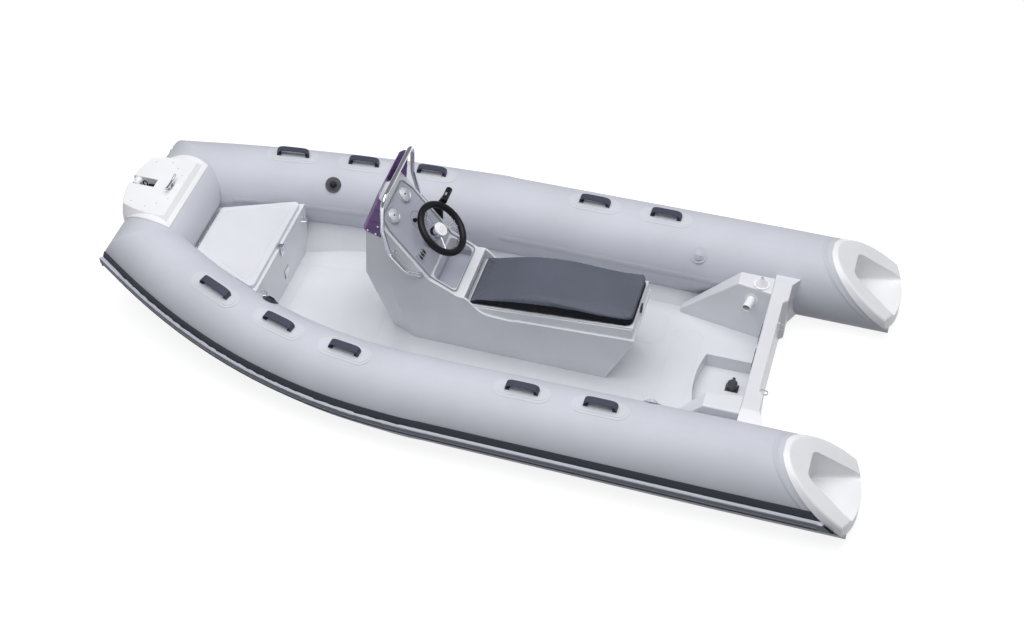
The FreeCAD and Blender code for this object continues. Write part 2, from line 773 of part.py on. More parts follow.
def air_valves():
    """Round valve caps on a flange, on the inboard side of both tubes."""
    caps = []
    for x, degrees in VALVE_PLACES:
        point, normal = on_tube(x, degrees, RUNNING_GAP)
        flange = Part.makeCylinder(VALVE_FLANGE_RADIUS, PATCH_THICKNESS)
        cap = Part.makeCylinder(VALVE_RADIUS, VALVE_PROUD)
        cap = cap.makeFillet(PATCH_THICKNESS, [e for e in cap.Edges if e.CenterOfMass.z > VALVE_PROUD - 1])
        dish = Part.makeCylinder(VALVE_DISH_RADIUS, PATCH_THICKNESS,
                                 Vector(0, 0, VALVE_PROUD - PATCH_THICKNESS))
        valve = flange.fuse(cap).cut(dish)
        caps.append(placed(valve, point, normal, tangent(x)))
    return Part.Compound(caps + [mirrored(c) for c in caps])


# Hull and liner
def keel_z(x):
    share = clamp((x - KEEL_START_X) / (STEM_X - KEEL_START_X), 0.0, 1.0)
    return blend(-KEEL_DEPTH, STEM_Z, share ** KEEL_POWER)


def seat_line(x):
    """Where hull, liner and port tube meet: (y, z) at x."""
    centre = axis(x)
    return centre.y - HULL_CONTACT_COS * radius(x), centre.z - HULL_CONTACT_SIN * radius(x)


def chine_z(x):
    share = clamp((x - TRANSOM_X) / (STEM_X - TRANSOM_X), 0.0, 1.0)
    return max(seat_line(x)[1] - blend(TOPSIDE_AFT, TOPSIDE_FORE, share), keel_z(x) + CHINE_ABOVE_KEEL)


def bottom(x):
    """Port half of the bottom, from keel to chine, with two spray rails that fade out forward."""
    inner = seat_line(x)[0] - CHINE_FLAT
    fade = clamp((SPRAY_RAIL_END_X - x) / SPRAY_RAIL_END_X, RUNNING_GAP / SPRAY_RAIL_DEPTH, 1.0)
    points = [(0.0, keel_z(x))]
    for share in SPRAY_RAIL_SHARES:
        edge = share * inner
        start = edge - SPRAY_RAIL_WIDTH * fade
        low = blend(keel_z(x), chine_z(x), start / inner)
        points += [(start, low), (edge, low - SPRAY_RAIL_DEPTH * fade / 2)]
        points.append((edge, blend(keel_z(x), chine_z(x), share)))
    return points + [(inner, chine_z(x))]


def hull_section(x):
    y, z = seat_line(x)
    inner = (y - HULL_INTO_TUBE, z + HULL_INTO_TUBE)
    side = bottom(x) + [(y, chine_z(x)), (y + HULL_INTO_TUBE, z + HULL_INTO_TUBE), inner]
    points = [Vector(x, b, c) for b, c in side] + [Vector(x, -b, c) for b, c in reversed(side[1:])]
    return polygon(points)


def sole_z(x):
    share = clamp((x - LOCKER_AFT_X) / (LINER_END_X - LOCKER_AFT_X), 0.0, 1.0)
    return SOLE_Z + LOCKER_FLOOR_RISE * share


def cockpit_section(x, drop, height):
    """Open space over the liner at x, deeper by drop, up to height over the tube's seat."""
    y, z = seat_line(x)
    floor = sole_z(x)
    foot = max(y - (z - floor) / tan(MARGIN_SLOPE_DEG), HULL_INTO_TUBE)
    grow = drop * tan((90 - MARGIN_SLOPE_DEG) / 2)
    wide = y + drop / math.sin(math.radians(MARGIN_SLOPE_DEG))
    side = [(foot + grow, floor - drop), (wide, z), (wide, z + height)]
    points = [Vector(x, b, c) for b, c in side] + [Vector(x, -b, c) for b, c in reversed(side)]
    return polygon(points)


HULL_AFT_X = TRANSOM_X + TRANSOM_THICKNESS
HULL_PLACES = (-1000, -400, PLAN_START_X, 500, 800, 1050, 1300, 1500, 1650, 1780, 1870)


def cockpit(drop, aft_x, fore_x, height=VOID_HEIGHT):
    margin = LINER_THICKNESS
    places = {x for x in HULL_PLACES if aft_x + margin < x < fore_x - margin}
    if aft_x < LOCKER_AFT_X < fore_x:
        places.add(LOCKER_AFT_X)
    wires = [cockpit_section(x, drop, height) for x in [aft_x] + sorted(places) + [fore_x]]
    return Part.makeLoft(wires, True, True)


def sump(grow):
    """Well in the sole ahead of the transom, its front edge bowed."""
    front = SUMP_FORE_X + grow
    half = SUMP_HALF_WIDTH + grow
    aft = HULL_AFT_X - 1
    corners = [Vector(aft, half, 0), Vector(front, half, 0), Vector(front + SUMP_BOW, 0, 0),
               Vector(front, -half, 0), Vector(aft, -half, 0)]
    edges = [Part.LineSegment(corners[0], corners[1]).toShape(),
             Part.Arc(corners[1], corners[2], corners[3]).toShape(),
             Part.LineSegment(corners[3], corners[4]).toShape(),
             Part.LineSegment(corners[4], corners[0]).toShape()]
    well = Part.Face(Part.Wire(edges)).extrude(Vector(0, 0, SUMP_DEPTH + grow + LINER_THICKNESS))
    well.translate(Vector(0, 0, SOLE_Z - SUMP_DEPTH - grow))
    return well


def hull():
    body = Part.makeLoft([hull_section(x) for x in (HULL_AFT_X,) + HULL_PLACES], True, True)
    below = LINER_THICKNESS + CLEAR
    body = body.cut(cockpit(below, HULL_AFT_X - 1, LINER_END_X))
    body = body.cut(sump(below))
    body = body.cut(AFT_CUTTERS + MIDDLE_CUTTERS)
    body = body.cut(BENT_CUTTERS)
    return body.cut(BOW_CUTTER)


def deck_liner():
    aft = HULL_AFT_X
    shell = cockpit(LINER_THICKNESS, aft, LINER_END_X, LINER_LIP)
    tub = box((aft, -SUMP_HALF_WIDTH - LINER_THICKNESS, SOLE_Z - SUMP_DEPTH - LINER_THICKNESS),
              (SUMP_FORE_X + SUMP_BOW + LINER_THICKNESS, SUMP_HALF_WIDTH + LINER_THICKNESS, SOLE_Z - 1))
    shell = shell.fuse(tub.common(sump(LINER_THICKNESS)))
    shell = shell.cut(cockpit(0, aft - 1, LINER_END_X + 1))
    shell = shell.cut(sump(0))
    shell = shell.cut(AFT_CUTTERS + MIDDLE_CUTTERS)
    return shell.cut(BENT_CUTTERS)


# Transom and knees
def transom():
    """Engine board: the hull's section below, and a level top with wings that lap the tubes."""
    y, z = seat_line(TRANSOM_X)
    side = bottom(TRANSOM_X) + [(y, chine_z(TRANSOM_X)), (y, z), (TRANSOM_HALF_SPAN, z),
                                (TRANSOM_HALF_SPAN, TRANSOM_SHOULDER_Z), (TRANSOM_SHOULDER_Y, TRANSOM_TOP_Z)]
    points = [Vector(TRANSOM_X, b, c) for b, c in side]
    points += [Vector(TRANSOM_X, -b, c) for b, c in reversed(side[1:])]
    board = Part.Face(polygon(points)).extrude(Vector(TRANSOM_THICKNESS - CLEAR, 0, 0))
    outline = [(TRANSOM_X, WING_Y), (TRANSOM_X - WING_BACK, WING_Y + WING_BACK),
               (TRANSOM_X - WING_BACK, TRANSOM_SHOULDER_Y), (TRANSOM_X - WING_TIP_BACK, TRANSOM_HALF_SPAN),
               (TRANSOM_X, TRANSOM_HALF_SPAN)]
    wing = prism_z(outline, z, TRANSOM_TOP_Z)
    crown = [Vector(TRANSOM_X - WING_TIP_BACK, b, c) for b, c in
             ((0, z), (TRANSOM_HALF_SPAN, z), (TRANSOM_HALF_SPAN, TRANSOM_SHOULDER_Z),
              (TRANSOM_SHOULDER_Y, TRANSOM_TOP_Z), (0, TRANSOM_TOP_Z))]
    wing = wing.common(Part.Face(polygon(crown)).extrude(Vector(WING_TIP_BACK, 0, 0)))
    board = board.fuse(both_sides(wing)).removeSplitter()
    reach = (-FAR, -TRANSOM_SHOULDER_Y, TRANSOM_TOP_Z - 1), (FAR, TRANSOM_SHOULDER_Y, TRANSOM_TOP_Z + 1)
    board = board.makeFillet(TRANSOM_EDGE, edges_at(board, *reach))
    return board.cut(AFT_CUTTERS)


def knee_port():
    aft = HULL_AFT_X
    plan = prism_z([(KNEE_TIP_X, KNEE_INNER_FORE_Y), (aft, KNEE_INNER_AFT_Y), (aft, KNEE_OUTER_Y),
                    (KNEE_TIP_X, KNEE_OUTER_Y)], SOLE_Z, TRANSOM_TOP_Z + KNEE_EDGE)
    side = prism_y([(KNEE_TIP_X, SOLE_Z), (aft, SOLE_Z), (aft, KNEE_TOP_Z), (KNEE_CREST_X, KNEE_TOP_Z),
                    (KNEE_TIP_X, SOLE_Z + KNEE_TIP_RISE)], FAR)
    knee = plan.common(side)
    crest = [e for e in knee.Edges if e.CenterOfMass.z > KNEE_TOP_Z - 1 and aft + 1 < e.CenterOfMass.x
             and e.CenterOfMass.x < KNEE_CREST_X + 1 and abs(e.CenterOfMass.x - KNEE_CREST_X) > 1]
    slope = [e for e in knee.Edges if KNEE_CREST_X < e.CenterOfMass.x < KNEE_TIP_X - 1
             and SOLE_Z + KNEE_TIP_RISE < e.CenterOfMass.z < KNEE_TOP_Z]
    knee = knee.makeFillet(KNEE_EDGE, crest + slope)
    knee = knee.common(cockpit(-CLEAR, aft, KNEE_TIP_X + LINER_THICKNESS, VOID_HEIGHT))
    return knee.cut([AFT_CUTTERS[0], MIDDLE_CUTTERS[0]])


# Bow locker
LID_AFT_HALF = inner_skin(LID_AFT_X, LOCKER_TOP_Z) - LID_TUBE_GAP
LID_FORE_HALF = inner_skin(LID_FORE_X, LOCKER_TOP_Z + LID_THICKNESS) - LID_FORE_GAP


def locker_plan(grow):
    fore = (LOCKER_FORE_X + grow, LOCKER_FORE_HALF + grow)
    return half_plan([fore, (LOCKER_AFT_X - grow, LOCKER_AFT_HALF + grow)])


def locker_box():
    """Closed bow locker with a mouth under its lid."""
    low = SOLE_Z - LOCKER_SINK
    body = prism_z(locker_plan(0), low, LOCKER_TOP_Z)
    hollow = prism_z(locker_plan(-LOCKER_WALL), low, LOCKER_TOP_Z - LOCKER_WALL)
    inset = LOCKER_MOUTH_INSET
    mouth = prism_z(lid_outline(inset), LOCKER_TOP_Z - 2 * LOCKER_WALL, LOCKER_TOP_Z + LOCKER_WALL)
    body = body.cut(hollow).cut(mouth)
    body = body.common(cockpit(-CLEAR, LOCKER_AFT_X, LOCKER_FORE_X + 1))
    return body.cut(BENT_CUTTERS).cut(BOW_CUTTER)


def lid_outline(inset):
    fore = (LID_FORE_X - inset, LID_FORE_HALF - inset)
    return half_plan([fore, (LID_AFT_X + inset, LID_AFT_HALF - inset)])


def locker_lid():
    low = LOCKER_TOP_Z + LID_LIFT
    top = low + LID_THICKNESS
    plate = prism_z(lid_outline(0), low, top)
    plate = plate.makeFillet(LID_CORNER, upright_edges(plate))
    plate = plate.makeFillet(LID_EDGE, edges_at(plate, (-FAR, -FAR, top - 1), (FAR, FAR, top + 1)))
    ring = prism_z(lid_outline(LID_GROOVE_INSET), top - LID_GROOVE_DEPTH, top + 1)
    ring = ring.makeFillet(LID_CORNER, upright_edges(ring))
    core = prism_z(lid_outline(LID_GROOVE_INSET + LID_GROOVE_WIDTH), top - LID_GROOVE_DEPTH, top + 1)
    core = core.makeFillet(LID_CORNER, upright_edges(core))
    return plate.cut(ring.cut(core))


def locker_hinge():
    """Pin beside the lid's front edge, carried by lugs on the locker's deck."""
    half = LID_FORE_HALF - LID_CORNER
    x = LID_FORE_X + LID_HINGE_RADIUS + LID_HINGE_GAP
    low = LOCKER_TOP_Z + CLEAR
    z = LOCKER_TOP_Z + LID_LIFT + LID_THICKNESS - LID_HINGE_RADIUS
    pin = rod((x, -half, z), (x, half, z), LID_HINGE_RADIUS)
    near = LID_FORE_X + LID_LUG_GAP
    lugs = [box((near, y - LID_LUG_WIDTH / 2, low), (x + LID_HINGE_RADIUS, y + LID_LUG_WIDTH / 2, z))
            for y in (LID_LUG_WIDTH - half, 0, half - LID_LUG_WIDTH)]
    return pin.fuse(lugs)


def locker_latch():
    """Hasp on the lid that reaches over the ledge and down the locker's aft face."""
    low = LOCKER_TOP_Z + LATCH_GAP
    outer = LOCKER_AFT_X - LATCH_GAP - LATCH_THICKNESS
    half = LATCH_WIDTH / 2
    arm = box((outer, -half, low), (LID_AFT_X - CLEAR, half, low + LATCH_THICKNESS))
    plate = box((outer, -half, low - LATCH_HEIGHT), (outer + LATCH_THICKNESS, half, low + LATCH_THICKNESS))
    slot = box((outer - 1, -half / 2, low - LATCH_HEIGHT / 2),
               (LOCKER_AFT_X, half / 2, low - LATCH_HEIGHT / 4))
    loop = rod((outer, -half, low + LATCH_THICKNESS), (outer, half, low + LATCH_THICKNESS), LATCH_THICKNESS)
    return arm.fuse([plate, loop]).cut(slot)


def wire_eye(point, out, up):
    """Bent wire eye on a small plate, standing off a wall."""
    out = Vector(*out)
    up = Vector(*up)
    point = Vector(*point) + out * CLEAR
    foot = out * EYE_PLATE
    reach = out * EYE_REACH
    rise = up * EYE_HALF
    pinch = up * (EYE_HALF / 2)
    route = [point + foot + rise, point + reach + pinch, point + reach - pinch, point + foot - rise]
    loop = pipe([tuple(p) for p in route], EYE_WIRE / 2 + 1, EYE_HALF / 4)
    plates = []
    for side in (rise, rise * -1):
        disc = Part.makeCylinder(EYE_WIRE * 2, EYE_PLATE + 1, point + side, out)
        plates.append(disc)
    return loop.fuse(plates)


# Bow plate, roller and cleat
ROLLER_Z = PLATE_TOP_Z - ROLLER_DROP


def plate_outline(flare_aft, flare_side, flare_fore, z):
    """Plan of the bow plate: straight aft edge, bowed sides and a bowed front."""
    aft = PLATE_AFT_X - flare_aft
    fore = PLATE_FORE_X + flare_fore
    corner_x = PLATE_FORE_SIDE_X + flare_fore
    a = Vector(aft, PLATE_AFT_HALF + flare_side, z)
    b = Vector((aft + corner_x) / 2, PLATE_SIDE_HALF + flare_side, z)
    c = Vector(corner_x, PLATE_FORE_HALF + flare_side / 2, z)
    edges = [Part.Arc(a, b, c).toShape(), Part.Arc(c, Vector(fore, 0, z), Vector(c.x, -c.y, z)).toShape(),
             Part.Arc(Vector(c.x, -c.y, z), Vector(b.x, -b.y, z), Vector(a.x, -a.y, z)).toShape(),
             Part.LineSegment(Vector(a.x, -a.y, z), a).toShape()]
    return Part.Wire(edges)


def bow_plate():
    flare = (PLATE_FLARE_AFT, PLATE_FLARE_SIDE, 0.0)
    shoulder = plate_outline(*flare, PLATE_SHOULDER_Z)
    top = Part.makeLoft([shoulder, plate_outline(0, 0, 0, PLATE_TOP_Z)], True, True)
    rim = edges_at(top, (-FAR, -FAR, PLATE_TOP_Z - 1), (FAR, FAR, PLATE_TOP_Z + 1))
    top = top.makeFillet(PLATE_EDGE, rim)
    base = Part.Face(plate_outline(*flare, PLATE_SKIRT_Z))
    skirt = base.extrude(Vector(0, 0, PLATE_SHOULDER_Z - PLATE_SKIRT_Z))
    reach = base.extrude(Vector(0, 0, PLATE_TOP_Z - PLATE_SKIRT_Z))
    flange = Part.makeCylinder(BOW_TUBE_RADIUS + PLATE_FLANGE, 2 * BOW_HALF_SPAN,
                               Vector(BOW_X, -BOW_HALF_SPAN, BOW_Z), Vector(0, 1, 0))
    plate = top.fuse([skirt, flange.common(reach)])
    slot = box((SLOT_AFT_X, -SLOT_HALF, PLATE_SKIRT_Z - 1),
               (PLATE_FORE_X + PLATE_FLARE_AFT, SLOT_HALF, PLATE_TOP_Z + 1))
    side = SLOT_HALF + PIN_BITE
    hole = rod((ROLLER_X, -side, ROLLER_Z), (ROLLER_X, side, ROLLER_Z), PIN_RADIUS)
    return plate.cut(BOW_CUTTER).cut([slot, hole])


def roller_pin():
    reach = SLOT_HALF + PIN_BITE
    return rod((ROLLER_X, -reach, ROLLER_Z), (ROLLER_X, reach, ROLLER_Z), PIN_RADIUS)


def bow_roller():
    """Anchor roller with a waist, free to turn on its pin."""
    half = ROLLER_HALF
    profile = [(PIN_RADIUS + PIN_PLAY, -half), (ROLLER_RADIUS, -half), (ROLLER_RADIUS, -half / 2),
               (ROLLER_WAIST, 0),
               (ROLLER_RADIUS, half / 2), (ROLLER_RADIUS, half), (PIN_RADIUS + PIN_PLAY, half)]
    face = Part.Face(polygon([Vector(ROLLER_X + r, y, ROLLER_Z) for r, y in profile]))
    return face.revolve(Vector(ROLLER_X, 0, ROLLER_Z), Vector(0, 1, 0), 360)


def bow_cleat():
    low = PLATE_TOP_Z + CLEAR
    base = stadium(2 * CLEAT_LEG_HALF + 4 * CLEAT_RADIUS, 4 * CLEAT_RADIUS, CLEAT_BASE_THICKNESS)
    placed(base, Vector(CLEAT_X, 0, low), UP, Vector(0, 1, 0))
    z = low + CLEAT_RISE
    tip = z + CLEAT_RADIUS
    bar = pipe([(CLEAT_X, -CLEAT_HALF, tip), (CLEAT_X, -CLEAT_LEG_HALF, z), (CLEAT_X, CLEAT_LEG_HALF, z),
                (CLEAT_X, CLEAT_HALF, tip)], CLEAT_RADIUS, 2 * CLEAT_RADIUS)
    ends = [Part.makeSphere(CLEAT_RADIUS, Vector(CLEAT_X, y, tip)) for y in (-CLEAT_HALF, CLEAT_HALF)]
    places = (-CLEAT_LEG_HALF, CLEAT_LEG_HALF)
    legs = [rod((CLEAT_X, y, low), (CLEAT_X, y, z), CLEAT_RADIUS) for y in places]
    return base.fuse([bar] + legs + ends)


# Console
DASH_NORMAL = Vector(-math.sin(math.radians(DASH_DEG)), 0, math.cos(math.radians(DASH_DEG)))
DASH_UP = Vector(math.cos(math.radians(DASH_DEG)), 0, math.sin(math.radians(DASH_DEG)))


def dash_z(x):
    return DASH_POINT[1] + (x - DASH_POINT[0]) * tan(DASH_DEG)


def on_dash(x, y, lift=0.0):
    """Point on the dash face, lifted off it by lift."""
    return Vector(x, y, dash_z(x)) + DASH_NORMAL * lift


def ring(points, z):
    return polygon([Vector(x, y, z) for x, y in half_plan(points)])


def console_block():
    """Faceted nose and straight sides, before the dash and the belt are cut."""
    floor = SOLE_Z + CLEAR
    waist_x, waist_y, waist_z = NOSE_WAIST
    brow_x, brow_y, brow_z = NOSE_BROW
    share = (KNUCKLE_Z - floor) / (waist_z - floor)
    knuckle = (blend(NOSE_FOOT[0], waist_x, share), blend(NOSE_FOOT[1], waist_y, share))
    foot = ring([NOSE_FOOT, (NOSE_KNUCKLE_FOOT_X, CONSOLE_BASE_HALF), (CONSOLE_AFT_X, CONSOLE_BASE_HALF)],
                floor)
    middle = ring([knuckle, (KNUCKLE_X, BELT_HALF), (CONSOLE_AFT_X, BELT_HALF)], KNUCKLE_Z)
    waist = ring([(waist_x, waist_y), (KNUCKLE_X, BELT_HALF), (CONSOLE_AFT_X, BELT_HALF)], waist_z)
    brow = ring([(brow_x, brow_y), (KNUCKLE_X, BELT_HALF), (CONSOLE_AFT_X, BELT_HALF)], brow_z)
    head = ring([(brow_x - BROW_BACK, brow_y), (KNUCKLE_X, BELT_HALF), (CONSOLE_AFT_X, BELT_HALF)],
                brow_z + BROW_RISE)
    return Part.makeLoft([foot, middle, waist, brow, head], True, True)


def belt_cutter():
    """Takes the console's side in below the arched belt line."""
    sections = []
    start = (KNUCKLE_X + BROW_BACK, KNUCKLE_Z - BROW_BACK)
    for x, z in (start,) + BELT + ((CONSOLE_AFT_X - 1, BELT[-1][1]),):
        corners = [(CONSOLE_BASE_HALF, SOLE_Z), (BELT_HALF + CLEAR, z), (BELT_HALF + FAR, z),
                   (BELT_HALF + FAR, SOLE_Z)]
        sections.append(polygon([Vector(x, y, h) for y, h in corners]))
    return Part.makeLoft(sections, True)


def console():
    head_z = dash_z(DASH_HEAD_X)
    side = prism_y([(CONSOLE_AFT_X, SOLE_Z), (NOSE_WAIST[0] + 1, SOLE_Z), (NOSE_WAIST[0] + 1, NOSE_BROW[2]),
                    (NOSE_BROW[0], NOSE_BROW[2]), (DASH_HEAD_X + DASH_MARGIN, head_z), (DASH_HEAD_X, head_z),
                    (DASH_FOOT_X, dash_z(DASH_FOOT_X)), (LIP_X, LIP_Z),
                    (CONSOLE_AFT_X, BELT[-1][1] - 2 * CLEAR)], FAR)
    body = console_block().common(side)
    for cutter in both_sides(belt_cutter()):
        body = body.cut(cutter)
    tray = prism_z(tray_outline(0.0), TRAY_FLOOR_Z, dash_z(DASH_FOOT_X) + 1)
    return body.cut(tray.makeFillet(TRAY_CORNER, upright_edges(tray)))


def tray_outline(inset):
    return half_plan([(TRAY_FORE_X - inset, TRAY_HALF - inset), (TRAY_AFT_X + inset, TRAY_HALF - inset)])


def dash_outline(inset, lift):
    """Corners of the grey panel on the dash face, from its foot up."""
    half = BELT_HALF - DASH_MARGIN - inset
    low = DASH_FOOT_X + inset
    high = DASH_HEAD_X - DASH_MARGIN - inset
    top_half = half - DASH_MARGIN
    shoulder = high - 2 * DASH_MARGIN
    return [on_dash(low, -half, lift), on_dash(shoulder, -half, lift), on_dash(high, -top_half, lift),
            on_dash(high, top_half, lift), on_dash(shoulder, half, lift), on_dash(low, half, lift)]


def dash_panel():
    """Grey facing on the dash, with a pan that lines the tray below it."""
    face = Part.Face(polygon(dash_outline(TRIM_RADIUS, CLEAR))).extrude(DASH_NORMAL * PANEL_THICKNESS)
    outer = prism_z(tray_outline(CLEAR), TRAY_FLOOR_Z + CLEAR, LIP_Z)
    outer = outer.makeFillet(TRAY_CORNER, upright_edges(outer))
    inner = prism_z(tray_outline(TRAY_WALL), TRAY_FLOOR_Z + TRAY_WALL, LIP_Z + 1)
    inner = inner.makeFillet(TRAY_CORNER - TRAY_WALL, upright_edges(inner))
    return Part.Compound([face, outer.cut(inner)])


def dash_trim():
    """Rounded edging round the dash and the tray."""
    lift = TRIM_RADIUS + 3 * CLEAR
    corners = [p for p in dash_outline(0.0, lift) if p.y > 0]
    head, shoulder, foot = corners
    aft = TRAY_AFT_X - TRAY_WALL - TRIM_RADIUS
    share = (aft - LIP_X) / (DASH_FOOT_X - LIP_X)
    low = blend(LIP_Z, dash_z(DASH_FOOT_X), share) + lift
    path = [Vector(head.x, 0, head.z), head, shoulder, foot, Vector(aft, foot.y, low), Vector(aft, 0, low)]
    half = pipe([tuple(p) for p in path], TRIM_RADIUS, DASH_MARGIN)
    return half.fuse(mirrored(half))


# Instruments
ON_PANEL = PANEL_THICKNESS + 2 * CLEAR


def gauges():
    """Two round dials with raised bezels."""
    dials = []
    for y in (-GAUGE_HALF_GAP, GAUGE_HALF_GAP):
        dial = Part.makeCylinder(GAUGE_RADIUS, GAUGE_PROUD)
        rim = edges_at(dial, (-1, -1, GAUGE_PROUD - 1), (1, 1, GAUGE_PROUD + 1))
        dial = dial.makeFillet(GAUGE_BEZEL / 2, rim)
        face = Part.makeCylinder(GAUGE_RADIUS - GAUGE_BEZEL, GAUGE_BEZEL,
                                 Vector(0, 0, GAUGE_PROUD - GAUGE_BEZEL / 2))
        dials.append(placed(dial.cut(face), on_dash(DASH_POINT[0], y, ON_PANEL), DASH_NORMAL, DASH_UP))
    return Part.Compound(dials)


def switch_panel():
    """Plate for three rockers, with their lamps above them."""
    plate = box((-SWITCH_HEIGHT / 2, -SWITCH_WIDTH / 2, 0),
                (SWITCH_HEIGHT / 2, SWITCH_WIDTH / 2, SWITCH_THICKNESS))
    plate = plate.makeFillet(SWITCH_THICKNESS, upright_edges(plate))
    for hole in rocker_blocks(CLEAR, 1.0):
        plate = plate.cut(hole)
    return placed(plate, on_dash(SWITCH_X, SWITCH_Y, ON_PANEL), DASH_NORMAL, DASH_UP)


def rocker_blocks(grow, floor):
    blocks = []
    for index in (-1, 0, 1):
        y = index * ROCKER_PITCH
        x = -SWITCH_HEIGHT / 8
        half_x = ROCKER_HEIGHT / 2 + grow
        half_y = ROCKER_WIDTH / 2 + grow
        blocks.append(box((x - half_x, y - half_y, floor),
                          (x + half_x, y + half_y, SWITCH_THICKNESS + ROCKER_PROUD)))
        lamp_x = x + half_x + ROCKER_WIDTH / 2
        blocks.append(Part.makeCylinder(ROCKER_WIDTH / 4 + grow,
                                        SWITCH_THICKNESS + ROCKER_PROUD / 2 - floor,
                                        Vector(lamp_x, y, floor)))
    return blocks


def switch_rockers():
    blocks = [placed(b, on_dash(SWITCH_X, SWITCH_Y, ON_PANEL), DASH_NORMAL, DASH_UP)
              for b in rocker_blocks(0.0, 1.0 + CLEAR)]
    return Part.Compound(blocks)


def dash_knobs():
    """Two small black knobs on the dash behind the wheel."""
    knobs = []
    for x, y in KNOB_PLACES:
        knob = Part.makeCone(KNOB_RADIUS, KNOB_RADIUS * SLIM, KNOB_PROUD)
        knobs.append(placed(knob, on_dash(x, y, ON_PANEL), DASH_NORMAL, DASH_UP))
    return Part.Compound(knobs)


# Steering
WHEEL_AXIS = Vector(-math.cos(math.radians(WHEEL_TILT_DEG)), 0, math.sin(math.radians(WHEEL_TILT_DEG)))
WHEEL_ACROSS = Vector(math.sin(math.radians(WHEEL_TILT_DEG)), 0, math.cos(math.radians(WHEEL_TILT_DEG)))
WHEEL_AT = Vector(*WHEEL_CENTRE)


def helm():
    """Boss on the dash, its rubber bellows and the shaft that carries the wheel."""
    front = WHEEL_AT - WHEEL_AXIS * HELM_FRONT
    depth = HELM_FRONT + HELM_RADIUS
    boss = Part.makeCone(HELM_RADIUS, HELM_FRONT_RADIUS, depth, front - WHEEL_AXIS * depth, WHEEL_AXIS)
    bellows = Part.makeCylinder(BELLOWS_RADIUS, BELLOWS_LENGTH, front, WHEEL_AXIS)
    reach = HELM_FRONT - HUB_DEPTH + SHAFT_INTO_HUB - RUNNING_GAP
    shaft = Part.makeCylinder(SHAFT_RADIUS, reach, front, WHEEL_AXIS)
    body = boss.fuse([bellows, shaft])
    above = half_space(on_dash(DASH_FOOT_X, 0, ON_PANEL), DASH_NORMAL)
    return body.common(above)


def wheel_at(shape):
    return placed(shape, WHEEL_AT, WHEEL_AXIS, WHEEL_ACROSS)


def steering_wheel():
    return wheel_at(Part.makeTorus(WHEEL_RADIUS, RIM_RADIUS))


def wheel_spokes():
    """Hub and three pairs of steel rods that splay out to the rim."""
    hub = Part.makeCylinder(HUB_RADIUS, HUB_DEPTH - HUB_DISH, Vector(0, 0, -HUB_DEPTH))
    rods = []
    for index in range(SPOKE_COUNT):
        turn = 2 * math.pi * index / SPOKE_COUNT
        for side in (-1, 1):
            spread = turn + side * math.radians(SPOKE_SPREAD_DEG)
            start = (HUB_RADIUS / 2 * math.cos(turn), HUB_RADIUS / 2 * math.sin(turn),
                     -HUB_DEPTH / 2 - SPOKE_RADIUS)
            end = (WHEEL_RADIUS * math.cos(spread), WHEEL_RADIUS * math.sin(spread), 0)
            rods.append(rod(start, end, SPOKE_RADIUS))
    spider = hub.fuse(rods)
    bore = Part.makeCylinder(SHAFT_RADIUS + PIN_PLAY, SHAFT_INTO_HUB, Vector(0, 0, -HUB_DEPTH))
    rim = Part.makeTorus(WHEEL_RADIUS, RIM_RADIUS + CLEAR / 2)
    return wheel_at(spider.cut(bore).cut(rim))


def wheel_cap():
    low = -HUB_DISH + CLEAR
    cap = Part.makeCylinder(CAP_RADIUS, CAP_THICKNESS, Vector(0, 0, low))
    top = low + CAP_THICKNESS
    cap = cap.makeFillet(CAP_THICKNESS / 2, edges_at(cap, (-1, -1, top - 1), (1, 1, top + 1)))
    return wheel_at(cap)


# Throttle
def throttle_box():
    length, depth, height = THROTTLE_SIZE
    inner = -BELT_HALF - CLEAR
    body = box((THROTTLE_X - length / 2, inner - depth, THROTTLE_Z - height / 2),
               (THROTTLE_X + length / 2, inner, THROTTLE_Z + height / 2))
    outer = [e for e in body.Edges if e.CenterOfMass.y < inner - 1]
    return body.makeFillet(THROTTLE_EDGE, outer)


def throttle_lever():
    """Blade from the pivot on the box up to a grip bar across the boat."""
    face = -BELT_HALF - 2 * CLEAR - THROTTLE_SIZE[1]
    pivot = rod((THROTTLE_X, face, THROTTLE_Z), (THROTTLE_X, face - LEVER_THICKNESS, THROTTLE_Z),
                LEVER_PIVOT_RADIUS)
    grip_x, grip_z = LEVER_GRIP
    half = LEVER_PIVOT_RADIUS * SLIM
    tip = GRIP_RADIUS * SLIM
    along = Vector(grip_x - THROTTLE_X, 0, grip_z - THROTTLE_Z).normalize()
    across = Vector(-along.z, 0, along.x)
    base = Vector(THROTTLE_X, face, THROTTLE_Z)
    head = Vector(grip_x, face, grip_z)
    outline = [base - across * half, base + across * half, head + across * tip, head - across * tip]
    blade = Part.Face(polygon(outline))
    blade = blade.extrude(Vector(0, -LEVER_THICKNESS, 0))
    outer = face - GRIP_OVERHANG
    grip = rod((grip_x, outer, grip_z), (grip_x, outer + GRIP_LENGTH, grip_z), GRIP_RADIUS)
    ends = [e for e in grip.Edges if e.Length > GRIP_RADIUS * 6 and len(e.Vertexes) == 1]
    grip = grip.makeFillet(GRIP_RADIUS / 4, ends)
    return blade.fuse([pivot, grip])


# Rail and screen
def rail_points():
    first_x, first_z = RAIL_ROUTE[0]
    last_x, last_z = RAIL_ROUTE[-1]
    middle = [(x, RAIL_HALF, z) for x, z in RAIL_ROUTE[1:-1]]
    port = [(first_x, BELT_HALF + CLEAR, first_z)] + middle + [(last_x, RAIL_HEAD_HALF, last_z)]
    return port + [(x, -y, z) for x, y, z in reversed(port)]


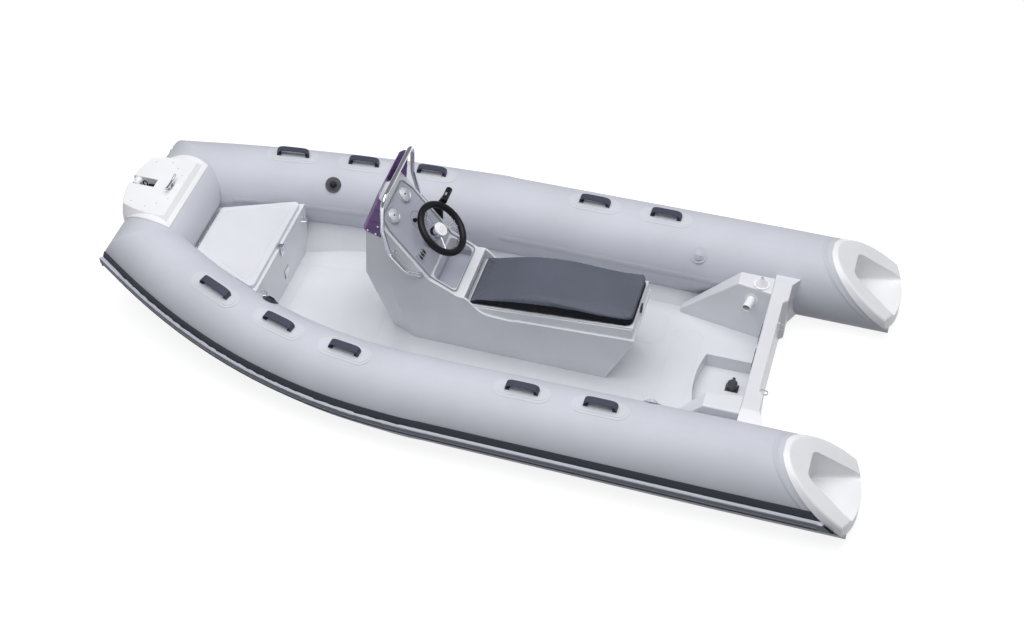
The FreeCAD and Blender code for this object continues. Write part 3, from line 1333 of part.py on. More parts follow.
def grab_rail():
    """Bent steel hoop with a foot and a stand-off on each side of the console."""
    points = rail_points()
    hoop = pipe(points, RAIL_RADIUS, RAIL_BEND)
    foot = Vector(*points[0])
    flange = Part.makeCylinder(RAIL_FLANGE_RADIUS, RAIL_FLANGE_THICKNESS, foot, Vector(0, 1, 0))
    a = Vector(*points[1])
    b = Vector(*points[2])
    hold = a + (b - a) * (1 - STANDOFF_ROUTE_SHARE / 2)
    prop = rod((hold.x, BELT_HALF + CLEAR, hold.z), (hold.x, hold.y, hold.z), STANDOFF_RADIUS)
    disc = Part.makeCylinder(STANDOFF_DISC_RADIUS, RAIL_FLANGE_THICKNESS,
                             Vector(hold.x, BELT_HALF + CLEAR, hold.z), Vector(0, 1, 0))
    fittings = []
    for part in (flange, prop, disc):
        fittings += both_sides(part)
    body = hoop.fuse(fittings)
    inside = box((-FAR, -BELT_HALF - CLEAR, 0), (FAR, BELT_HALF + CLEAR, NOSE_BROW[2]))
    return body.cut(inside)


def screen_runs(points):
    """Outer and inner edge of the screen at one height, with bends between its panes."""
    t = SCREEN_THICKNESS
    inner = [(x - t * i / 2, y - t * (1 if i < 2 else 0.5), z) for i, (x, y, z) in enumerate(points)]
    runs = []
    for port, bend in ((points, SCREEN_BEND), (inner, SCREEN_BEND - t)):
        whole = list(port) + [(x, -y, z) for x, y, z in reversed(port)]
        runs.append(route(whole, bend).Edges)
    return runs


def windscreen():
    """Tinted screen that wraps the console's brow and leans back to the hoop."""
    foot, head = screen_runs(SCREEN_FOOT), screen_runs(SCREEN_HEAD)
    faces = []
    for side in (0, 1):
        faces += [Part.makeRuledSurface(a, b) for a, b in zip(foot[side], head[side])]
    for runs in (foot, head):
        faces += [Part.makeRuledSurface(a, b) for a, b in zip(*runs)]
    for end in (0, -1):
        lines = []
        for runs in (foot, head):
            outer, inner = (runs[side][end].Vertexes[end].Point for side in (0, 1))
            lines.append(Part.LineSegment(outer, inner).toShape())
        faces.append(Part.makeRuledSurface(*lines))
    shell = Part.makeShell(faces)
    shell.sewShape()
    solid = Part.makeSolid(shell)
    return solid if solid.Volume > 0 else solid.reversed()


# Seat
def seat_level(x, fore_z, aft_z):
    """Height at x on a line that runs along the seat."""
    return blend(fore_z, aft_z, (CONSOLE_AFT_X - x) / (CONSOLE_AFT_X - SEAT_AFT_X))


def seat_top(x):
    return seat_level(x, SEAT_TOP_FORE_Z, SEAT_TOP_AFT_Z)


def seat_section(x, belt_z):
    floor = SOLE_Z + CLEAR
    corners = [(SEAT_BASE_HALF, floor), (BELT_HALF, belt_z), (-BELT_HALF, belt_z), (-SEAT_BASE_HALF, floor)]
    return polygon([Vector(x, y, z) for y, z in corners])


def seat_box():
    """Hollow plinth: sides that lean in below a ledge, and an upright box above it."""
    fore = CONSOLE_AFT_X - CLEAR
    belt = [(min(x, fore), z) for x, z in SEAT_BELT]
    front = Part.makeLoft([seat_section(x, z) for x, z in belt], True)
    aft_x = SEAT_AFT_X - SEAT_WALL
    rear = Part.makeLoft([seat_section(*belt[-1]), seat_section(aft_x, LEDGE_AFT_Z)], True, True)
    top = [(SEAT_AFT_X, belt[-1][1] - SEAT_WALL), (fore, belt[-1][1] - SEAT_WALL), (fore, seat_top(fore)),
           (SEAT_AFT_X, seat_top(SEAT_AFT_X))]
    upper = prism_y(top, SEAT_TOP_HALF)
    lean = prism_y([(SEAT_BASE_AFT_X, SOLE_Z), (aft_x, LEDGE_AFT_Z - SEAT_LIP), (aft_x, SOLE_Z)], FAR)
    above = [(SEAT_AFT_X - 1, seat_top(SEAT_AFT_X - 1)), (CONSOLE_AFT_X, seat_top(CONSOLE_AFT_X)),
             (CONSOLE_AFT_X, SEAT_TOP_AFT_Z + 1), (SEAT_AFT_X - 1, SEAT_TOP_AFT_Z + 1)]
    body = front.fuse([rear, upper]).cut(lean).cut(prism_y(above, CUSHION_HALF + CUSHION_SIDE_GAP))
    wall = SEAT_WALL
    floor = SOLE_Z + SEAT_LOCKER_FLOOR
    share = (floor - SOLE_Z) / (belt[-1][1] - SOLE_Z)
    low_half = blend(SEAT_BASE_HALF, BELT_HALF, share) - wall
    low_aft = blend(SEAT_BASE_AFT_X, aft_x, (floor - SOLE_Z) / (LEDGE_AFT_Z - SOLE_Z)) + wall
    high = belt[-1][1] - wall
    high_half = SEAT_TOP_HALF - SEAT_LIP

    def level_ring(aft, half, z):
        corners = ((aft, -half), (fore - wall, -half), (fore - wall, half), (aft, half))
        return polygon([Vector(a, b, z) for a, b in corners])

    rings = [level_ring(low_aft, low_half, floor), level_ring(SEAT_AFT_X + SEAT_LIP, high_half, high)]
    hollow = Part.makeLoft(rings, True, True)
    mouth = box((SEAT_AFT_X + SEAT_LIP, -high_half, high - 1), (fore - wall, high_half, SEAT_TOP_AFT_Z + 1))
    return body.cut(hollow).cut(mouth)


def seat_lid():
    fore = CUSHION_FORE_X
    low = [(SEAT_AFT_X, seat_top(SEAT_AFT_X) + CLEAR), (fore, seat_top(fore) + CLEAR)]
    high = [(x, z + SEAT_LID_THICKNESS) for x, z in reversed(low)]
    return prism_y(low + high, SEAT_TOP_HALF - SEAT_LID_INSET)


def seat_cushion():
    base = SEAT_LID_THICKNESS + 2 * CLEAR
    top = [Vector(x, 0, seat_top(x) + base + rise) for x, rise in CUSHION_RISE]
    curve = Part.BSplineCurve()
    curve.interpolate(top)
    fore = Vector(top[0].x, 0, seat_top(top[0].x) + base)
    aft = Vector(top[-1].x, 0, seat_top(top[-1].x) + base)
    edges = [curve.toShape(), Part.LineSegment(top[-1], aft).toShape(),
             Part.LineSegment(aft, fore).toShape(), Part.LineSegment(fore, top[0]).toShape()]
    face = Part.Face(Part.Wire(edges))
    face.translate(Vector(0, -CUSHION_HALF, 0))
    plan = box((aft.x, -CUSHION_HALF, 0), (fore.x, CUSHION_HALF, FAR))
    plan = plan.makeFillet(CUSHION_CORNER, edges_at(plan, (aft.x - 1, -FAR, 1), (aft.x + 1, FAR, FAR - 1)))
    return face.extrude(Vector(0, 2 * CUSHION_HALF, 0)).common(plan)


def seat_hinge():
    """Pin across the seat's front edge, carried by leaves on the console."""
    pin = rod((SEAT_HINGE_X, -CUSHION_HALF, SEAT_HINGE_Z), (SEAT_HINGE_X, CUSHION_HALF, SEAT_HINGE_Z),
              SEAT_HINGE_RADIUS)
    leaves = []
    for y in (-CUSHION_HALF / 2, CUSHION_HALF / 2):
        leaves.append(box((SEAT_HINGE_X, y - SEAT_HINGE_LEAF / 2, SEAT_HINGE_Z - 2 * SEAT_HINGE_RADIUS),
                          (CONSOLE_AFT_X - CLEAR, y + SEAT_HINGE_LEAF / 2,
                           SEAT_HINGE_Z + 2 * SEAT_HINGE_RADIUS)))
    return pin.fuse(leaves)


def seat_catch():
    """Rubber catch that hangs from the lid's aft edge."""
    top = seat_top(SEAT_AFT_X) + SEAT_LID_THICKNESS
    strap = box((SEAT_AFT_X - CATCH_THICKNESS, -CATCH_WIDTH / 2, top - CATCH_HEIGHT),
                (SEAT_AFT_X - CLEAR, CATCH_WIDTH / 2, top))
    outer = [e for e in strap.Edges if e.CenterOfMass.x < SEAT_AFT_X - CATCH_THICKNESS + 1]
    return strap.makeFillet(CATCH_THICKNESS / 3, outer)


# Fittings
def transom_eyes():
    places = (-STERN_EYE_Y, STERN_EYE_Y)
    eyes = [wire_eye((TRANSOM_X, y, STERN_EYE_Z), (-1, 0, 0), (0, 0, 1)) for y in places]
    return Part.Compound(eyes)


def locker_eyes():
    places = (-LOCKER_EYE_Y, LOCKER_EYE_Y)
    eyes = [wire_eye((LOCKER_AFT_X, y, LOCKER_EYE_Z), (-1, 0, 0), (0, 1, 0)) for y in places]
    return Part.Compound(eyes)


def bow_eye():
    """Towing eye on the stem."""
    slope = (keel_z(BOW_EYE_X + 1) - keel_z(BOW_EYE_X - 1)) / 2
    out = Vector(slope, 0, -1).normalize()
    along = Vector(1, 0, slope).normalize()
    return wire_eye((BOW_EYE_X, 0, keel_z(BOW_EYE_X)), tuple(out), tuple(along))


def engine_pads():
    pads = []
    for y in (-PAD_HALF_GAP, PAD_HALF_GAP):
        x = HULL_AFT_X
        pads.append(box((x, y - PAD_WIDTH / 2, PAD_Z - PAD_HEIGHT / 2),
                        (x + PAD_THICKNESS, y + PAD_WIDTH / 2, PAD_Z + PAD_HEIGHT / 2)))
    return Part.Compound(pads)


def cable_boot():
    """Ribbed boot on the starboard knee that the engine's cables pass through."""
    x, y = BOOT_PLACE
    base = KNEE_TOP_Z + CLEAR
    body = Part.makeCylinder(BOOT_RADIUS, BOOT_RISE / BOOT_RINGS / 2, Vector(x, y, base))
    step = BOOT_RISE / BOOT_RINGS
    for index in range(BOOT_RINGS):
        wide = BOOT_RADIUS * (SLIM - BOOT_FOLD_TAPER * index)
        body = body.fuse(Part.makeCone(wide, wide * SLIM, step, Vector(x, y, base + step * (index + 0.5))))
    bore = Part.makeCylinder(BOOT_BORE_RADIUS, BOOT_RISE * 2, Vector(x, y, base))
    return body.cut(bore)


def rigging_pipe():
    """Short flanged pipe on the starboard knee's inboard face."""
    share = (RIGGING_PIPE_X - HULL_AFT_X) / (KNEE_TIP_X - HULL_AFT_X)
    face_y = blend(KNEE_INNER_AFT_Y, KNEE_INNER_FORE_Y, share)
    out = Vector(KNEE_INNER_FORE_Y - KNEE_INNER_AFT_Y, KNEE_TIP_X - HULL_AFT_X, 0).normalize()
    place = Vector(RIGGING_PIPE_X, -face_y, RIGGING_PIPE_Z) + out * CLEAR
    tube = Part.makeCylinder(RIGGING_PIPE_RADIUS, RIGGING_PIPE_LENGTH, place, out)
    flange = Part.makeCylinder(RIGGING_FLANGE_RADIUS, RIGGING_WALL, place, out)
    bore = Part.makeCylinder(RIGGING_PIPE_RADIUS - RIGGING_WALL, RIGGING_PIPE_LENGTH * 2,
                             place - out * RIGGING_PIPE_LENGTH / 2, out)
    return tube.fuse(flange).cut(bore)


def bilge_pump():
    x, y = PUMP_PLACE
    low = SOLE_Z - SUMP_DEPTH + CLEAR
    body = Part.makeCylinder(PUMP_RADIUS, PUMP_HEIGHT, Vector(x, y, low))
    cap = Part.makeCone(PUMP_RADIUS, PUMP_RADIUS / 2, PUMP_HEIGHT / 3, Vector(x, y, low + PUMP_HEIGHT))
    level = low + PUMP_HEIGHT / 2
    spout = rod((x, y, level), (x, y - PUMP_RADIUS * 2, level), PUMP_RADIUS / 3)
    foot = box((x - PUMP_FOOT_HALF, y - PUMP_RADIUS, low),
               (x + PUMP_FOOT_HALF, y + PUMP_RADIUS, low + RIGGING_WALL))
    return body.fuse([cap, spout, foot])


def drain_plug():
    """Screwed drain on the transom's aft face."""
    place = Vector(TRANSOM_X - CLEAR, DRAIN_Y, DRAIN_Z)
    flange = Part.makeCylinder(DRAIN_FLANGE_RADIUS, PANEL_THICKNESS, place, Vector(-1, 0, 0))
    plug = Part.makeCylinder(DRAIN_RADIUS, DRAIN_RADIUS, place, Vector(-1, 0, 0))
    return flange.fuse(plug)


def save_pair(shape, name):
    save(shape, name + "_port")
    save(mirrored(shape), name + "_starboard")


def main():
    save_pair(tube_port(), "tube")
    save_pair(cone_port(), "cone")
    save_pair(strake_port(), "strake")
    save_pair(knee_port(), "knee")
    singles = [handles, handle_patches, air_valves, hull, deck_liner, transom, locker_box, locker_lid,
               locker_latch, locker_hinge, bow_plate, roller_pin, bow_roller, bow_cleat, console, dash_panel,
               dash_trim, gauges, switch_panel, switch_rockers, dash_knobs, helm, steering_wheel,
               wheel_spokes, wheel_cap, throttle_box, throttle_lever, grab_rail, windscreen, seat_box,
               seat_lid, seat_cushion, seat_hinge, seat_catch, transom_eyes, locker_eyes, bow_eye,
               engine_pads, cable_boot, rigging_pipe, bilge_pump, drain_plug]
    save(cross_tube(), "tube_bow")
    save(strake_bow(), "strake_bow")
    for make in singles:
        save(make(), make.__name__)


main()
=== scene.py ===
import json
import math

import bpy
from mathutils import Matrix, Vector


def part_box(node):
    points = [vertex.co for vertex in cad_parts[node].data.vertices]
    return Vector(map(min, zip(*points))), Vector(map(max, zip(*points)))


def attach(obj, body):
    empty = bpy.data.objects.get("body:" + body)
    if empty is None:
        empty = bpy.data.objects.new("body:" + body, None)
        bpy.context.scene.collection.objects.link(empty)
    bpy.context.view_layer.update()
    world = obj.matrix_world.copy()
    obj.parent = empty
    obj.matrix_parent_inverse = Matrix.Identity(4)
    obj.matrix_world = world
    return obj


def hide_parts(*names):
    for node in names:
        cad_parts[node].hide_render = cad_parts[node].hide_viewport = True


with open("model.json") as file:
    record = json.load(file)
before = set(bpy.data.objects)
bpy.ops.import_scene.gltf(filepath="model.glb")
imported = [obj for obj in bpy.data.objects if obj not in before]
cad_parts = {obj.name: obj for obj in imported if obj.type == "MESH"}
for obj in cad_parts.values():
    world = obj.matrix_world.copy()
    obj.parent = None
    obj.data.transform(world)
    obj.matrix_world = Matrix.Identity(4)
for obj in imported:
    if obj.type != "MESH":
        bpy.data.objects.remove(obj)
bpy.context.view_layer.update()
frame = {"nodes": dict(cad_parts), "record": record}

# Camera, fitted to the photograph
CAMERA_AT = Vector((-2.0354, 6.7387, 7.2635))
CAMERA_RIGHT = Vector((-0.95996, -0.28011, 0.00447))
CAMERA_DOWN = Vector((-0.20222, 0.68180, -0.70303))
CAMERA_FORWARD = Vector((0.19388, -0.67578, -0.71115))
SENSOR = 36.0
FOCAL_PIXELS = 1820.5
PHOTO_WIDTH = 1024.0

# Studio: place, size and power of each lamp, and the hull's outline at the waterline
FLOOR_SIZE = 60.0
WORLD_COLOUR = (0.93, 0.945, 1.0)
WORLD_STRENGTH = 0.26
KEY = ((0.3, 0.9, 8.0), 8.0, 660)
FILL = ((-6.0, -3.0, 6.0), 6.0, 90)
LAMP_AIM = Vector((0, 0, 0.3))
FLOOR_GLOW = 0.86
HULL_LINE = ((-1.47, 0.528), (0.118, 0.532), (0.5, 0.518), (0.8, 0.473), (1.05, 0.4085), (1.24, 0.342),
             (1.30, 0.30))

# Tube run in metres, as the part has it; handles and valves are at an x and an angle round the tube
TUBE_SPAN = 0.7451
TUBE_Z = 0.20
TUBE_R = 0.2315
BOW_R = 0.2001
CORNER = Vector((1.8779, 0.3359, 0.4019))
TAPER_X = -1.440
PLAN_X = 0.1185
PLAN_POWER = 2.207
SHEER_X = 0.286
SHEER_POWER = 2.165
HANDLES = ((1.396, 85), (0.998, 88), (0.598, 88), (-0.371, 91), (-0.781, 91))
VALVES = ((1.157, 133), (-1.010, 140))
SEAM_X = -1.719
SEAM_DEG = 41.5
TAPE_END_X = -1.98

# Dash and wheel
DASH_DEG = 52.0
DASH_POINT = (0.534, 0.811)
PANEL_LIFT = 0.0038
WHEEL_CENTRE = Vector((0.287, 0.0, 0.710))
WHEEL_DEG = 48.5


# Mesh helpers
SCREW_DOME = ((1.0, 0.0), (1.0, 0.25), (0.7, 0.5), (0.2, 0.55))


def add_mesh(name, points, faces, material, body="boat", smooth=True):
    """Makes a piece from points and faces, and lets it ride on a body."""
    mesh = bpy.data.meshes.new(name)
    mesh.from_pydata([tuple(p) for p in points], [], faces)
    mesh.materials.append(MATERIALS[material])
    mesh.polygons.foreach_set("use_smooth", [smooth] * len(mesh.polygons))
    piece = bpy.data.objects.new(name, mesh)
    bpy.context.collection.objects.link(piece)
    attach(piece, body)


def joined(shapes):
    """Puts several (points, faces) together as one."""
    points, faces = [], []
    for some_points, some_faces in shapes:
        start = len(points)
        points += some_points
        faces += [tuple(start + i for i in face) for face in some_faces]
    return points, faces


def both_sides(shape):
    """A shape and its mirror image across the centre plane."""
    points, faces = shape
    other = [Vector((p[0], -p[1], p[2])) for p in points]
    return joined([shape, (other, [tuple(reversed(face)) for face in faces])])


def grid(rows, closed=False):
    """Faces between rows of points; closed joins each row's end to its start."""
    count = len(rows[0])
    faces = []
    for r in range(len(rows) - 1):
        for c in range(count if closed else count - 1):
            a, b = r * count + c, r * count + (c + 1) % count
            faces.append((a, b, b + count, a + count))
    return [p for row in rows for p in row], faces


def rod(points, radius, sides=8):
    """Round rod along a line of points, with closed ends."""
    points = [Vector(p) for p in points]
    rows = []
    for i, p in enumerate(points):
        way = (points[min(i + 1, len(points) - 1)] - points[max(i - 1, 0)]).normalized()
        side = way.cross(Vector((0, 0, 1)) if abs(way.z) < 0.9 else Vector((1, 0, 0))).normalized()
        over = way.cross(side)
        rows.append([p + (side * math.cos(t) + over * math.sin(t)) * radius
                     for t in (2 * math.pi * k / sides for k in range(sides))])
    all_points, faces = grid(rows, True)
    faces.append(tuple(reversed(range(sides))))
    faces.append(tuple(range(len(all_points) - sides, len(all_points))))
    return all_points, faces


def turned(profile, place, up, sides=48):
    """Turned piece: profile is (radius, height) pairs, from its foot to its head."""
    up = Vector(up).normalized()
    side = up.cross(Vector((0, 1, 0)) if abs(up.y) < 0.9 else Vector((1, 0, 0))).normalized()
    over = up.cross(side)
    place = Vector(place)
    rows = []
    for r, h in profile:
        rows.append([place + up * h + (side * math.cos(t) + over * math.sin(t)) * r
                     for t in (2 * math.pi * k / sides for k in range(sides))])
    points, faces = grid(rows, True)
    faces.append(tuple(reversed(range(sides))))
    faces.append(tuple(range(len(points) - sides, len(points))))
    return points, faces


def slab(place, along, up, size, edge=0.0):
    """Box with a chamfered top edge: size is along, across and up."""
    along = Vector(along).normalized()
    up = Vector(up).normalized()
    across = up.cross(along)
    length, width, height = size
    rows = []
    for inset, h in ((0.0, 0.0), (0.0, height - edge), (edge, height)):
        a, b = length / 2 - inset, width / 2 - inset
        corners = ((-a, -b), (a, -b), (a, b), (-a, b))
        rows.append([Vector(place) + along * x + across * y + up * h for x, y in corners])
    points, faces = grid(rows, True)
    faces += [(3, 2, 1, 0), (8, 9, 10, 11)]
    return points, faces


def screw(place, up, radius=0.004):
    """Domed screw head."""
    return turned([(radius * r, radius * h) for r, h in SCREW_DOME], place, up, 12)


# Materials
CLOUD_SCALE = 3.0
CLOUD_DETAIL = 6.0
CLOUD_RANGE = (0.3, 0.7)
ROUGHNESS_SPREAD = 0.05
GRAIN_DEPTH = 0.001
SCREEN_COLOUR = (0.27, 0.155, 0.38)
SCREEN_CLEAR = 0.35
SCREEN_IOR = 1.25
SCREEN_ROUGHNESS = (0.03, 0.09)
HAZE_SCALE = 6.0
CREASE_SCALE = 1.6
CREASE_STRETCH = (3.0, 9.0, 22.0)
CREASE_TURN = (0.5, 0.3, 0.0)
CREASE_STRENGTH = 0.7
CREASE_DEPTH = 0.02
FLOOR_COLOUR = (0.25, 0.25, 0.26)
FLOOR_ROUGHNESS = 0.9


def new_material(name):
    material = bpy.data.materials.new(name)
    material.use_nodes = True
    nodes = material.node_tree.nodes
    return material, nodes, material.node_tree.links, nodes["Principled BSDF"]


def noise(nodes, links, coords, scale, detail=4.0):
    texture = nodes.new("ShaderNodeTexNoise")
    texture.inputs["Scale"].default_value = scale
    texture.inputs["Detail"].default_value = detail
    links.new(coords.outputs["Object"], texture.inputs["Vector"])
    return texture


def vary_roughness(nodes, links, shader, texture, low, high):
    """Roughness that runs from low to high with the texture."""
    rough = nodes.new("ShaderNodeMapRange")
    rough.inputs["To Min"].default_value = low
    rough.inputs["To Max"].default_value = high
    links.new(texture.outputs["Fac"], rough.inputs["Value"])
    links.new(rough.outputs["Result"], shader.inputs["Roughness"])


def add_relief(nodes, links, shader, height, strength, depth):
    """Bump from a height output."""
    relief = nodes.new("ShaderNodeBump")
    relief.inputs["Strength"].default_value = strength
    relief.inputs["Distance"].default_value = depth
    links.new(height, relief.inputs["Height"])
    links.new(relief.outputs["Normal"], shader.inputs["Normal"])


def combined(nodes, links, operation, first, second):
    """Maths node that joins two values, each an output or a plain number."""
    maths = nodes.new("ShaderNodeMath")
    maths.operation = operation
    for place, value in zip(maths.inputs, (first, second)):
        if isinstance(value, float):
            place.default_value = value
        else:
            links.new(value, place)
    return maths.outputs[0]


def surface(name, colour, roughness, bump, scale, metallic=0.0, coat=0.0, variation=0.04, weave=0.0,
            shine=0.5):
    """Procedural finish: cloudy colour change, fine bump, uneven roughness, and a weave where asked."""
    material, nodes, links, shader = new_material(name)
    shader.inputs["Metallic"].default_value = metallic
    shader.inputs["Coat Weight"].default_value = coat
    shader.inputs["Specular IOR Level"].default_value = shine
    coords = nodes.new("ShaderNodeTexCoord")
    cloud = noise(nodes, links, coords, CLOUD_SCALE, CLOUD_DETAIL)
    ramp = nodes.new("ShaderNodeValToRGB")
    dark, light = ramp.color_ramp.elements
    dark.color = [c * (1 - variation) for c in colour] + [1]
    light.color = [min(1.0, c * (1 + variation)) for c in colour] + [1]
    dark.position, light.position = CLOUD_RANGE
    links.new(cloud.outputs["Fac"], ramp.inputs["Fac"])
    links.new(ramp.outputs["Color"], shader.inputs["Base Color"])
    grain = noise(nodes, links, coords, scale)
    vary_roughness(nodes, links, shader, grain, roughness - ROUGHNESS_SPREAD, roughness + ROUGHNESS_SPREAD)
    height = grain.outputs["Fac"]
    if weave:
        threads = nodes.new("ShaderNodeTexWave")
        threads.bands_direction = "DIAGONAL"
        threads.inputs["Scale"].default_value = weave
        links.new(coords.outputs["Object"], threads.inputs["Vector"])
        height = combined(nodes, links, "ADD", threads.outputs["Fac"], height)
    add_relief(nodes, links, shader, height, bump, GRAIN_DEPTH)
    return material


def tinted_screen():
    """Violet acrylic with a faint haze that varies and soft creases."""
    material, nodes, links, shader = new_material("tinted_screen")
    shader.inputs["Base Color"].default_value = (*SCREEN_COLOUR, 1)
    shader.inputs["Transmission Weight"].default_value = SCREEN_CLEAR
    shader.inputs["IOR"].default_value = SCREEN_IOR
    coords = nodes.new("ShaderNodeTexCoord")
    haze = noise(nodes, links, coords, HAZE_SCALE)
    vary_roughness(nodes, links, shader, haze, *SCREEN_ROUGHNESS)
    fold = nodes.new("ShaderNodeMapping")
    fold.inputs["Scale"].default_value = CREASE_STRETCH
    fold.inputs["Rotation"].default_value = CREASE_TURN
    links.new(coords.outputs["Object"], fold.inputs["Vector"])
    creases = nodes.new("ShaderNodeTexNoise")
    creases.inputs["Scale"].default_value = CREASE_SCALE
    links.new(fold.outputs["Vector"], creases.inputs["Vector"])
    add_relief(nodes, links, shader, creases.outputs["Fac"], CREASE_STRENGTH, CREASE_DEPTH)
    return material


def floor_surface():
    """White floor: white to the camera and in reflections, with the boat's soft shadow kept."""
    material, nodes, links, shader = new_material("floor")
    shader.inputs["Base Color"].default_value = (*FLOOR_COLOUR, 1)
    shader.inputs["Roughness"].default_value = FLOOR_ROUGHNESS
    seen = nodes.new("ShaderNodeLightPath").outputs
    either = combined(nodes, links, "MAXIMUM", seen["Is Camera Ray"], seen["Is Glossy Ray"])
    any_ray = combined(nodes, links, "MAXIMUM", either, seen["Is Transmission Ray"])
    glow = combined(nodes, links, "MULTIPLY", any_ray, FLOOR_GLOW)
    shader.inputs["Emission Color"].default_value = (1, 1, 1, 1)
    links.new(glow, shader.inputs["Emission Strength"])
    return material


# Each finish: colour, roughness, strength of the bump, scale of the grain, and what else it has
FINISHES = {
    "tube_fabric": ((0.56, 0.575, 0.63), 0.55, 0.12, 900, {"weave": 900, "shine": 0.3}),
    "tube_tape": ((0.53, 0.545, 0.60), 0.55, 0.12, 900, {"weave": 900, "shine": 0.3}),
    "patch_fabric": ((0.60, 0.61, 0.66), 0.55, 0.12, 900, {"shine": 0.3}),
    "white_moulding": ((0.85, 0.855, 0.87), 0.35, 0.05, 700, {"coat": 0.15}),
    "gelcoat": ((0.71, 0.72, 0.755), 0.3, 0.03, 500, {"coat": 0.2}),
    "non_skid": ((0.69, 0.70, 0.735), 0.5, 0.7, 260, {}),
    "shadow_line": ((0.60, 0.61, 0.66), 0.6, 0.1, 500, {}),
    "strake_rubber": ((0.045, 0.05, 0.068), 0.55, 0.2, 600, {"shine": 0.25}),
    "strake_ridge": ((0.15, 0.16, 0.20), 0.5, 0.15, 600, {"shine": 0.3}),
    # The strake's pale line colour is a painted highlight and its near-black colour is painted shade.
    "strake_highlight": ((0.50, 0.52, 0.58), 0.4, 0.1, 600, {}),
    "strake_shade": ((0.012, 0.013, 0.02), 0.55, 0.2, 600, {"shine": 0.2}),
    "dash_grey": ((0.44, 0.46, 0.53), 0.4, 0.1, 800, {}),
    "trim_grey": ((0.30, 0.32, 0.37), 0.4, 0.1, 800, {}),
    "upholstery": ((0.095, 0.105, 0.138), 0.55, 0.5, 700, {"variation": 0.08, "shine": 0.3}),
    # Near-black painted shade for the seat pad's sides.
    "pad_side_shade": ((0.008, 0.009, 0.013), 0.6, 0.3, 900, {"shine": 0.15}),
    "black_plastic": ((0.006, 0.006, 0.009), 0.4, 0.2, 900, {"shine": 0.25}),
    "dark_plastic": ((0.05, 0.053, 0.065), 0.45, 0.2, 900, {}),
    "gauge_white": ((0.80, 0.80, 0.84), 0.25, 0.02, 900, {"coat": 0.5}),
    "gauge_mark": ((0.20, 0.12, 0.32), 0.4, 0.05, 900, {}),
    "lamp_green": ((0.05, 0.35, 0.12), 0.25, 0.05, 900, {"coat": 0.5}),
    "handle_navy": ((0.05, 0.056, 0.088), 0.5, 0.3, 900, {"weave": 700, "shine": 0.3}),
    "thread": ((0.15, 0.16, 0.2), 0.6, 0.3, 900, {}),
    "stainless": ((0.75, 0.76, 0.8), 0.14, 0.02, 300, {"metallic": 1.0}),
}
MATERIALS = {name: surface(name, *finish[:-1], **finish[-1]) for name, finish in FINISHES.items()}
MATERIALS["tinted_screen"] = tinted_screen()


def dress_nodes():
    """Gives each node its finish, with paler patches and tube-grey valves aft."""
    for part in frame["record"]["subparts"]:
        node = frame["nodes"][part["node"]]
        node.data.materials.clear()
        node.data.materials.append(MATERIALS[part["material_slot"]])
    frame["nodes"]["handle_patches"].data.materials[0] = MATERIALS["patch_fabric"]
    valves = frame["nodes"]["air_valves"].data
    valves.materials.append(MATERIALS["tube_fabric"])
    for face in valves.polygons:
        face.material_index = 0 if face.center.x > 0 else 1


# Tubes
TANGENT_STEP = 0.0005
RIBBON_STEPS = 60
RIBBON_SINK = 0.0001
RIBBON_EDGE = 0.0012
TAPE_LIFT = 0.0008
CONE_TAPE_ARC = (-100, 260)
CONE_TAPE_GAP = 0.045
CONE_TAPE_WIDTH = 0.03
DECK_TAPE_RUN = (-1.55, 1.70)
DECK_TAPE_DEG = 176
DECK_TAPE_WIDTH = 0.045


def blend(low, high, share):
    return low + (high - low) * share


def share_of(x, start, end):
    """How far x lies from start to end, as a share from 0 to 1."""
    return min(1.0, max(0.0, (x - start) / (end - start)))


def axis(x):
    """Port tube's axis at x."""
    inward = share_of(x, PLAN_X, CORNER.x) ** PLAN_POWER
    rise = share_of(x, SHEER_X, CORNER.x) ** SHEER_POWER
    return Vector((x, TUBE_SPAN - (TUBE_SPAN - CORNER.y) * inward, TUBE_Z + (CORNER.z - TUBE_Z) * rise))


def tube_radius(x):
    return blend(TUBE_R, BOW_R, share_of(x, TAPER_X, CORNER.x))


def tube_frame(x):
    """Axis point, tangent, outboard and upward directions at x."""
    x = min(x, CORNER.x - TANGENT_STEP)
    along = (axis(x + TANGENT_STEP) - axis(x - TANGENT_STEP)).normalized()
    out = Vector((0, 0, 1)).cross(along).normalized()
    return axis(x), along, out, along.cross(out)


def on_tube(x, degrees, lift=0.0):
    """Point on the port tube and its normal; 0 degrees is outboard and 90 is on top."""
    centre, along, out, over = tube_frame(x)
    turn = math.radians(degrees)
    normal = out * math.cos(turn) + over * math.sin(turn)
    return centre + normal * (tube_radius(x) + lift), normal


def tube_ribbon(places, lift):
    """Thin raised tape on the port tube: places is rows of (x, degrees), each row across the tape."""
    rows = []
    for row in places:
        low = [on_tube(x, degrees, RIBBON_SINK)[0] for x, degrees in (row[0], row[-1])]
        top = [on_tube(x, degrees, lift)[0] for x, degrees in row]
        first = top[0] + (top[1] - top[0]).normalized() * RIBBON_EDGE
        last = top[-1] + (top[-2] - top[-1]).normalized() * RIBBON_EDGE
        rows.append([low[0], first] + top[1:-1] + [last, low[1]])
    return grid(rows)


def seam_x(degrees):
    """Where the cone's seam crosses the tube at that angle."""
    height = TUBE_R * math.sin(math.radians(degrees))
    return SEAM_X - (TUBE_R - height) / math.tan(math.radians(SEAM_DEG))


def cone_tape():
    """Tape ahead of the cone, along its slanting seam."""
    rows = []
    for i in range(RIBBON_STEPS + 1):
        degrees = blend(*CONE_TAPE_ARC, i / RIBBON_STEPS)
        x = seam_x(degrees) + CONE_TAPE_GAP
        if x > TAPE_END_X:
            rows.append([(x + offset, degrees) for offset in (-CONE_TAPE_WIDTH / 2, 0, CONE_TAPE_WIDTH / 2)])
    return tube_ribbon(rows, TAPE_LIFT)


